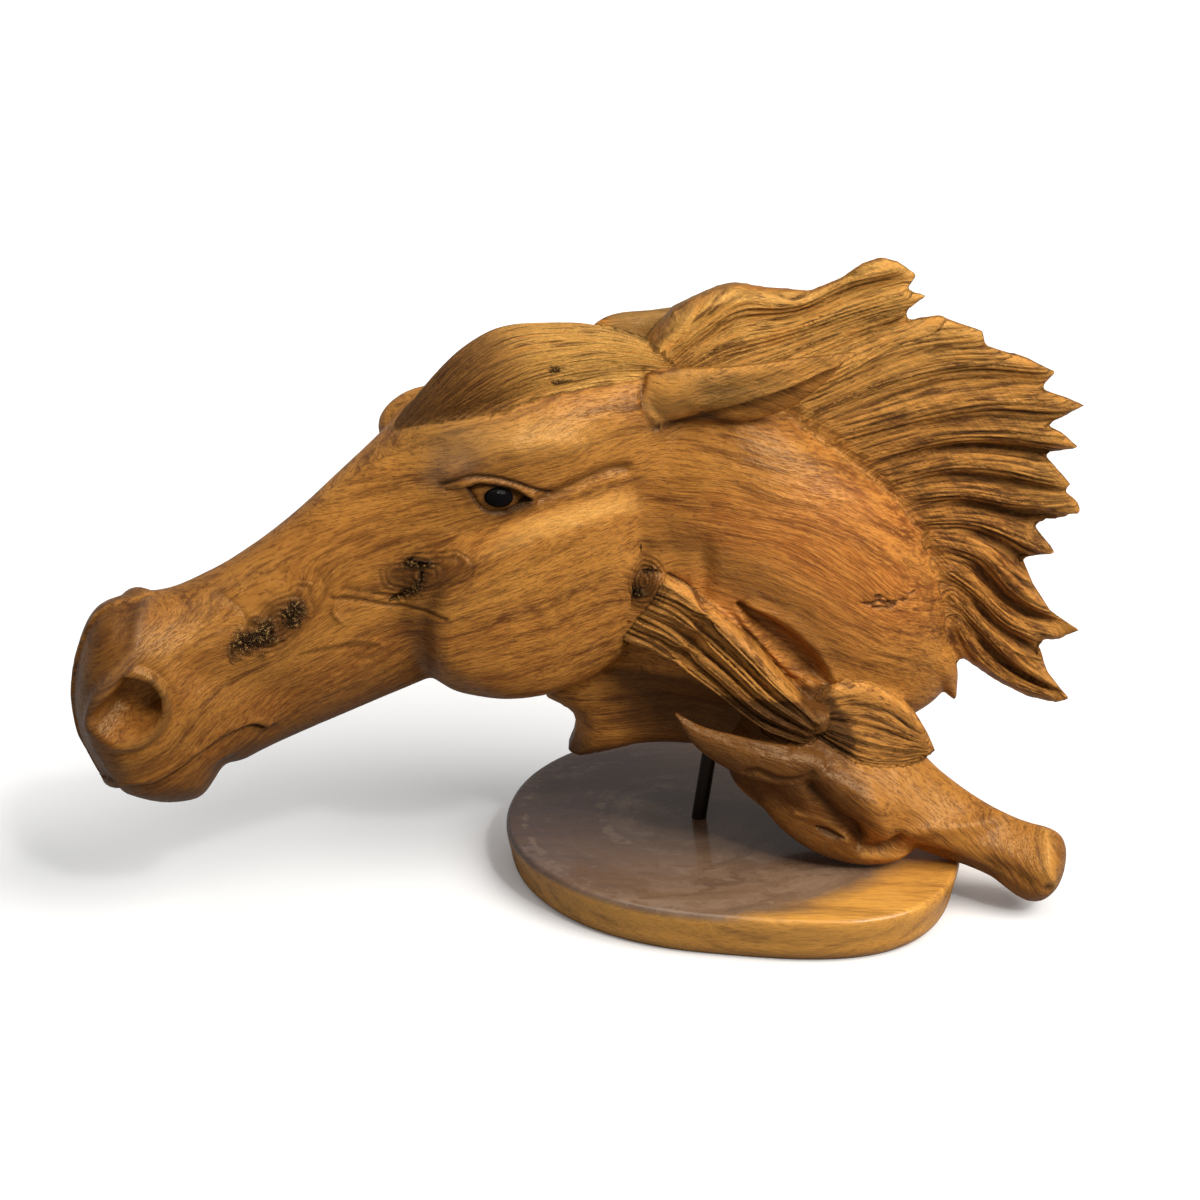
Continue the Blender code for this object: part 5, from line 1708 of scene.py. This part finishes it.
# Second tones of the beads' glaze, of the rod's steel and of the rings in the slab's top
BEAD_BROWN = (0.006, 0.004, 0.003)
ROD_RUST = (0.045, 0.022, 0.012)
RING_PALE = (0.36, 0.25, 0.17)
RING_DARK = (0.055, 0.036, 0.030)
# Dark heart of the slab's top as (x, y): its middle and its half sizes
HEART_CENTRE = (-22.0, 2.0)
HEART_HALF = (118.0, 122.0)


def bead_material(settings):
    """Black glaze with a barely browner cloud in it."""
    material, tree, shader = new_material("black_bead_glaze", {"Specular IOR Level": 0.05})
    cloud = tree.noise(position_in_mm(tree), 0.4, 2.0)
    tree.set(shader["Base Color"], tree.mix(cloud, settings.black, BEAD_BROWN))
    tree.set(shader["Roughness"], tree.remap(cloud, 0.3, 0.7, 0.04, 0.09))
    return material


def rod_material(settings):
    """Dark drawn steel with a few brownish patches."""
    material, tree, shader = new_material("dark_rod_steel", {"Metallic": 0.85})
    position = position_in_mm(tree)
    patches = tree.noise(position, 0.25, 4.0)
    drawn = tree.noise(position, (3.0, 3.0, 0.08), 2.0)
    tree.set(shader["Base Color"], tree.mix(tree.remap(patches, 0.45, 0.7), settings.steel, ROD_RUST))
    tree.set(shader["Roughness"], tree.remap(patches, 0.3, 0.7, 0.3, 0.5))
    tree.set(shader["Normal"], tree.bump(drawn, 0.3, 0.0002))
    return material


def base_material(settings):
    """Golden sides, and a dusky polished heart with wavering rings in the top."""
    material, tree, shader = new_material(
        "polished_slab_wood", {"Coat Roughness": 0.08, "Specular IOR Level": 0.35}
    )
    position = position_in_mm(tree)
    colour, rough, height = wood_grain(tree, {
        "Position": position, "Pith Y": -30.0, "Pith Z": -34.0, "Arch X": 20.0, "Arch": 0.0006,
        "Light": settings.side_light, "Middle": settings.side_brown, "Red": settings.side_brown,
        "Dark": settings.side_dark, "Figure": 0.6, "Pores": 0.45,
    })
    x, y, z = tree.split(position)
    wander = tree.noise(position, (0.022, 0.03, 0.02), 5.0, 0.6)
    across, deep = (x - HEART_CENTRE[0]) / HEART_HALF[0], (y - HEART_CENTRE[1]) / HEART_HALF[1]
    away = tree.math("SQRT", across * across + deep * deep) + wander * 0.3
    top = tree.remap(z, BASE_THICK - 4.5, BASE_THICK - 1.5)
    heart = tree.remap(away, 1.17, 1.05) * top
    rings = tree.noise(tree.combine(away * 9.0, wander * 7.0, across * 0.8), 1.0, 5.0, 0.65)
    dusk = across * -0.55 + deep * 0.35 - 0.05 + rings * 1.3
    stain = tree.mix(tree.remap(dusk, 0.35, 0.90), settings.top_brown, settings.top_blue)
    stain = tree.mix(tree.remap(rings, 0.50, 0.68, 0.0, 0.5), stain, RING_PALE)
    stain = tree.mix(tree.remap(rings, 0.48, 0.34, 0.0, 0.6), stain, RING_DARK)
    tree.set(shader["Base Color"], tree.mix(heart * 0.9, colour, stain))
    tree.set(shader["Roughness"], rough + 0.24)
    tree.set(shader["Coat Weight"], heart * 0.55 + 0.1)
    tree.set(shader["Normal"], tree.bump(height, 0.15, 0.0001))
    return material


# Base: a slab cut as a rounded square, its sides drawn in towards the floor
BASE_HALF_LENGTH = 116.0
BASE_HALF_DEPTH = 106.0
BASE_CENTRE = (2.5, 0.0)
BASE_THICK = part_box("wooden_base")[1].z / MM
BASE_SQUARENESS = 3.2
BASE_SQUARENESS_LEFT = 2.1
BASE_TURN = math.radians(-10)
# The slab's side, from the underside up: height and how far it is drawn in
BASE_SIDE = ((0.0, 6.6), (1.6, 5.0), (12.0, 1.6), (19.2, 0.0))


def base_outline(z, inset, steps=256):
    """The slab's outline at a height, drawn in by an amount."""
    angle = ring_angles(steps)
    square = np.where(np.cos(angle) > 0, BASE_SQUARENESS, BASE_SQUARENESS_LEFT)
    x = (BASE_HALF_LENGTH - inset) * power(np.cos(angle), 2 / square)
    y = (BASE_HALF_DEPTH - inset) * power(np.sin(angle), 2 / square)
    return np.stack([*turned_back(x, y, BASE_CENTRE, BASE_TURN), np.full(steps, z)], axis=1)


def build_base(settings):
    """The slab, with a softly rounded upper edge."""
    side = through(BASE_SIDE)
    radius = settings.edge_radius / MM
    profile = [(z, float(side(z))) for z in np.linspace(0, BASE_THICK - radius, 14)]
    start = profile[-1][1]
    for turn in np.linspace(0, math.pi / 2, 9)[1:]:
        profile.append((BASE_THICK - radius * (1 - math.sin(turn)), start + radius * (1 - math.cos(turn))))
    rings = [base_outline(z, inset) for z, inset in profile]
    centre = np.array([*BASE_CENTRE, BASE_THICK])
    rings += [centre + (rings[-1] - centre) * share for share in (0.97, 0.9, 0.75, 0.5, 0.25)]
    obj = mesh_object("polished_base", *mesh_from_rings(rings))
    obj.data.shade_smooth()
    obj.data.set_sharp_from_angle(angle=math.radians(50))
    return obj


def build_bead(name, side, settings):
    """An oval bead with a fine girdle, longer along the eye's slit; side is -1 for the near eye."""
    horse = horse_frame()
    angle = ring_angles(64)
    rings = []
    for turn in np.linspace(-math.pi / 2, math.pi / 2, 33)[1:-1]:
        girdle = 1 - settings.girdle * math.exp(-((turn / GIRDLE_WIDTH) ** 2))
        s = BEAD_HALF[0] * math.cos(turn) * girdle * np.cos(angle)
        t = BEAD_HALF[1] * math.cos(turn) * girdle * np.sin(angle)
        a, d = turned_back(s, t, EYE_AT, EYE_TURN)
        rings.append(horse.world(a, d, side * EYE_SIDE + BEAD_HALF[2] * math.sin(turn)))
    obj = mesh_object(name, *mesh_from_rings(rings))
    obj.data.shade_smooth()
    return obj


def paint(obj, material):
    obj.data.materials.clear()
    obj.data.materials.append(material)


def dress(obj, material, slot, *nodes):
    """Gives a piece its material and its place on the frame. The slot is not used."""
    paint(obj, material)
    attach(obj, BODY)
    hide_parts(*nodes)


def colour_property(name, description, default):
    return FloatVectorProperty(
        name=name, description=description, subtype="COLOR", size=3, min=0.0, max=1.0, default=default
    )


def length_property(name, description, default, low, high):
    return FloatProperty(
        name=name, description=description, subtype="DISTANCE", unit="LENGTH",
        default=default, min=low, max=high, precision=4,
    )


class HorseCarvingSettings(bpy.types.PropertyGroup):
    """Sizes and colours of the carving."""

    surface_step: length_property(
        "Surface Step", "Size of the cells in which the carving's forms are fused",
        0.0011, 0.0008, 0.004,
    )
    triangles: IntProperty(
        name="Triangles", description="Most triangles that the carving may have",
        default=192000, min=10000, max=199000,
    )
    strand_depth: length_property(
        "Strand Depth", "How deep the grooves between strands of the mane are cut", 0.0012, 0.0, 0.004
    )
    honey: colour_property("Honey", "Lightest tone of the wood", (0.60, 0.25, 0.045))
    brown: colour_property("Brown", "Middle tone of the wood", (0.41, 0.145, 0.024))
    # Gold is the tone of painted highlights on lit strands and lit parts, and of the palest wood
    gold: colour_property("Gold", "Tone of the lit strands and of the palest patches", (0.92, 0.48, 0.11))
    # Lit Hair is the tone of painted highlights along the strands' ridges
    lit_hair: colour_property("Lit Hair", "Tone of the ridges between dark strands", (0.80, 0.34, 0.065))
    red: colour_property("Red", "Tone of the broad reddish streaks", (0.27, 0.080, 0.015))
    dark: colour_property("Dark", "Tone of the dark streaks and pores", (0.105, 0.030, 0.008))


class HorseBeadSettings(bpy.types.PropertyGroup):
    """Finish of the eye beads."""

    girdle: FloatProperty(
        name="Girdle", description="Depth of the fine line round the bead, as a share of its radius",
        default=0.02, min=0.0, max=0.2,
    )
    black: colour_property("Black", "Colour of the beads", (0.004, 0.004, 0.005))


class HorseRodSettings(bpy.types.PropertyGroup):
    """Finish of the rod."""

    steel: colour_property("Steel", "Colour of the rod", (0.030, 0.028, 0.025))


class HorseBaseSettings(bpy.types.PropertyGroup):
    """Sizes and colours of the base."""

    edge_radius: length_property("Edge Radius", "Rounding of the slab's upper edge", 0.0026, 0.0005, 0.006)
    side_light: colour_property("Side Light", "Light tone of the slab's side", (0.84, 0.40, 0.075))
    side_brown: colour_property("Side Brown", "Middle tone of the slab's side", (0.64, 0.27, 0.045))
    side_dark: colour_property("Side Dark", "Streaks in the slab's side", (0.14, 0.055, 0.020))
    top_brown: colour_property("Top Brown", "Greyish brown of the slab's top", (0.175, 0.110, 0.076))
    top_blue: colour_property("Top Blue", "Dusky patches of the slab's top", (0.062, 0.050, 0.060))


class HorseStageSettings(bpy.types.PropertyGroup):
    """Floor, light and camera."""

    floor: colour_property("Floor", "Colour of the floor", (0.96, 0.96, 0.96))
    focal_length: FloatProperty(
        name="Focal Length", description="Lens of the camera in millimetres", subtype="DISTANCE_CAMERA",
        default=66.0, min=20.0, max=200.0,
    )
    key_power: FloatProperty(
        name="Key Light", description="Power of the soft light above", subtype="POWER",
        default=2.75, min=0.0, max=50.0,
    )
    sky: FloatProperty(
        name="Sky", description="Strength of the light from all round", default=0.19, min=0.0, max=2.0,
    )
    floor_bounce: FloatProperty(
        name="Floor Bounce", description="Share of the light that the floor throws back on the carving",
        subtype="FACTOR", default=0.28, min=0.0, max=1.0,
    )


MOST_FACES = 200000


class HORSE_OT_carving(bpy.types.Operator):
    """Build the carved horse's and foal's heads"""

    bl_idname = "horse.carving"
    bl_label = "Carving"

    def execute(self, context):
        settings = context.scene.horse_carving
        obj = build_carving(settings)
        if len(obj.data.polygons) >= MOST_FACES:
            raise RuntimeError("the carving has too many triangles")
        obj.name = "carved_heads"
        dress(obj, carving_material(settings), "carved_hardwood", "horse_carving")
        return {"FINISHED"}


class HORSE_OT_beads(bpy.types.Operator):
    """Build the two eye beads"""

    bl_idname = "horse.beads"
    bl_label = "Eye Beads"

    def execute(self, context):
        settings = context.scene.horse_beads
        material = bead_material(settings)
        for name, node, side in (("near_bead", "left_eye_bead", -1), ("far_bead", "right_eye_bead", 1)):
            dress(build_bead(name, side, settings), material, "black_bead", node)
        return {"FINISHED"}


class HORSE_OT_rod(bpy.types.Operator):
    """Give the rod its finish"""

    bl_idname = "horse.rod"
    bl_label = "Rod"

    def execute(self, context):
        paint(frame["nodes"]["support_rod"], rod_material(context.scene.horse_rod))
        return {"FINISHED"}


class HORSE_OT_base(bpy.types.Operator):
    """Build the polished wooden base"""

    bl_idname = "horse.base"
    bl_label = "Base"

    def execute(self, context):
        settings = context.scene.horse_base
        dress(build_base(settings), base_material(settings), "polished_slab", "wooden_base")
        return {"FINISHED"}


# Floor's half size and camera's place in metres
FLOOR_HALF = 30.0
CAMERA_PLACE = (-0.06566, -1.0134, 0.5310)
CAMERA_TILT = math.radians(69)
# Strength of the pale ground that the camera sees, and of the floor's own glow towards it
GROUND_STRENGTH = 1.02
FLOOR_GLOW = 0.1
WHITE = (1.0, 1.0, 1.0)
# Soft lights: direction towards each, its share of the key light's power, its width and colour
LIGHTS = {
    "key": ((0.62, -0.40, 0.72), 1.0, 40, (1.0, 0.98, 0.94)),
    "spark": ((0.40, -0.62, 0.72), 0.16, 5, WHITE),
    "top": ((0.0, -0.1, 1.0), 0.36, 60, WHITE),
}


def floor_material(settings):
    """A pale floor that looks bright to the camera, and throws less light back on the carving."""
    material, tree, shader = new_material(
        "pale_floor", {"Emission Strength": FLOOR_GLOW, "Roughness": 0.9, "Specular IOR Level": 0.0}
    )
    cloud = tree.noise(position_in_mm(tree), 0.004, 2.0)
    soft = tuple(0.985 * value for value in settings.floor)
    seen = tree.out("Is Camera Ray", "ShaderNodeLightPath")
    bounce = tuple(settings.floor_bounce * value for value in settings.floor)
    tree.set(shader["Base Color"], tree.mix(seen, bounce, tree.mix(cloud, soft, settings.floor)))
    tree.set(shader["Emission Color"], tree.mix(seen, (0.0, 0.0, 0.0), WHITE))
    return material


def studio_world(settings):
    """Even light from all round, with a ground that looks white to the camera."""
    world = bpy.data.worlds.new("studio")
    world.use_nodes = True
    tree = Tree(world.node_tree)
    seen = tree.out("Is Camera Ray", "ShaderNodeLightPath")
    strength = tree.remap(seen, 0.0, 1.0, settings.sky, GROUND_STRENGTH)
    background = tree.out(0, "ShaderNodeBackground", {"Color": WHITE, "Strength": strength})
    tree.node("ShaderNodeOutputWorld", {"Surface": background})
    return world


class HORSE_OT_stage(bpy.types.Operator):
    """Build the floor, the light and the camera"""

    bl_idname = "horse.stage"
    bl_label = "Stage"

    def execute(self, context):
        settings = context.scene.horse_stage
        scene = context.scene
        corners = [(-1, -1, 0), (1, -1, 0), (1, 1, 0), (-1, 1, 0)]
        floor = mesh_object("floor", np.array(corners) * FLOOR_HALF / MM, [(0, 1, 2, 3)])
        floor.data.materials.append(floor_material(settings))
        scene.world = studio_world(settings)
        for name, (direction, share, width, colour) in LIGHTS.items():
            light = bpy.data.lights.new(name, "SUN")
            light.energy = share * settings.key_power
            light.angle = math.radians(width)
            light.color = colour
            obj = placed_in_scene(name, light)
            obj.rotation_mode = "QUATERNION"
            obj.rotation_quaternion = Vector(direction).to_track_quat("Z", "Y")
        camera = bpy.data.cameras.new("camera")
        camera.lens = settings.focal_length
        camera.sensor_width = 36.0
        camera.clip_start, camera.clip_end = 0.05, 50.0
        scene.camera = placed_in_scene("camera", camera)
        scene.camera.location = CAMERA_PLACE
        scene.camera.rotation_euler = (CAMERA_TILT, 0.0, 0.0)
        scene.view_settings.view_transform = "Standard"
        return {"FINISHED"}


class HORSE_PT_panel(bpy.types.Panel):
    """Lists the pieces of the sculpture"""

    bl_idname = "HORSE_PT_panel"
    bl_label = "Carved Horse Head"
    bl_space_type = "VIEW_3D"
    bl_region_type = "UI"
    bl_category = "Carving"

    def draw(self, context):
        for operator, group in PIECES:
            box = self.layout.box()
            box.operator(operator.bl_idname)
            settings = getattr(context.scene, group)
            for name in settings.__annotations__:
                box.prop(settings, name)


SETTINGS = {
    "horse_carving": HorseCarvingSettings,
    "horse_beads": HorseBeadSettings,
    "horse_rod": HorseRodSettings,
    "horse_base": HorseBaseSettings,
    "horse_stage": HorseStageSettings,
}
PIECES = (
    (HORSE_OT_carving, "horse_carving"),
    (HORSE_OT_beads, "horse_beads"),
    (HORSE_OT_rod, "horse_rod"),
    (HORSE_OT_base, "horse_base"),
    (HORSE_OT_stage, "horse_stage"),
)


def register():
    for name, group in SETTINGS.items():
        bpy.utils.register_class(group)
        setattr(bpy.types.Scene, name, PointerProperty(type=group))
    for operator, _ in PIECES:
        bpy.utils.register_class(operator)
    bpy.utils.register_class(HORSE_PT_panel)


def unregister():
    bpy.utils.unregister_class(HORSE_PT_panel)
    for operator, _ in reversed(PIECES):
        bpy.utils.unregister_class(operator)
    for name, group in SETTINGS.items():
        delattr(bpy.types.Scene, name)
        bpy.utils.unregister_class(group)


def main():
    register()
    bpy.ops.horse.carving()
    bpy.ops.horse.beads()
    bpy.ops.horse.rod()
    bpy.ops.horse.base()
    bpy.ops.horse.stage()


if __name__ == "__main__":
    main()
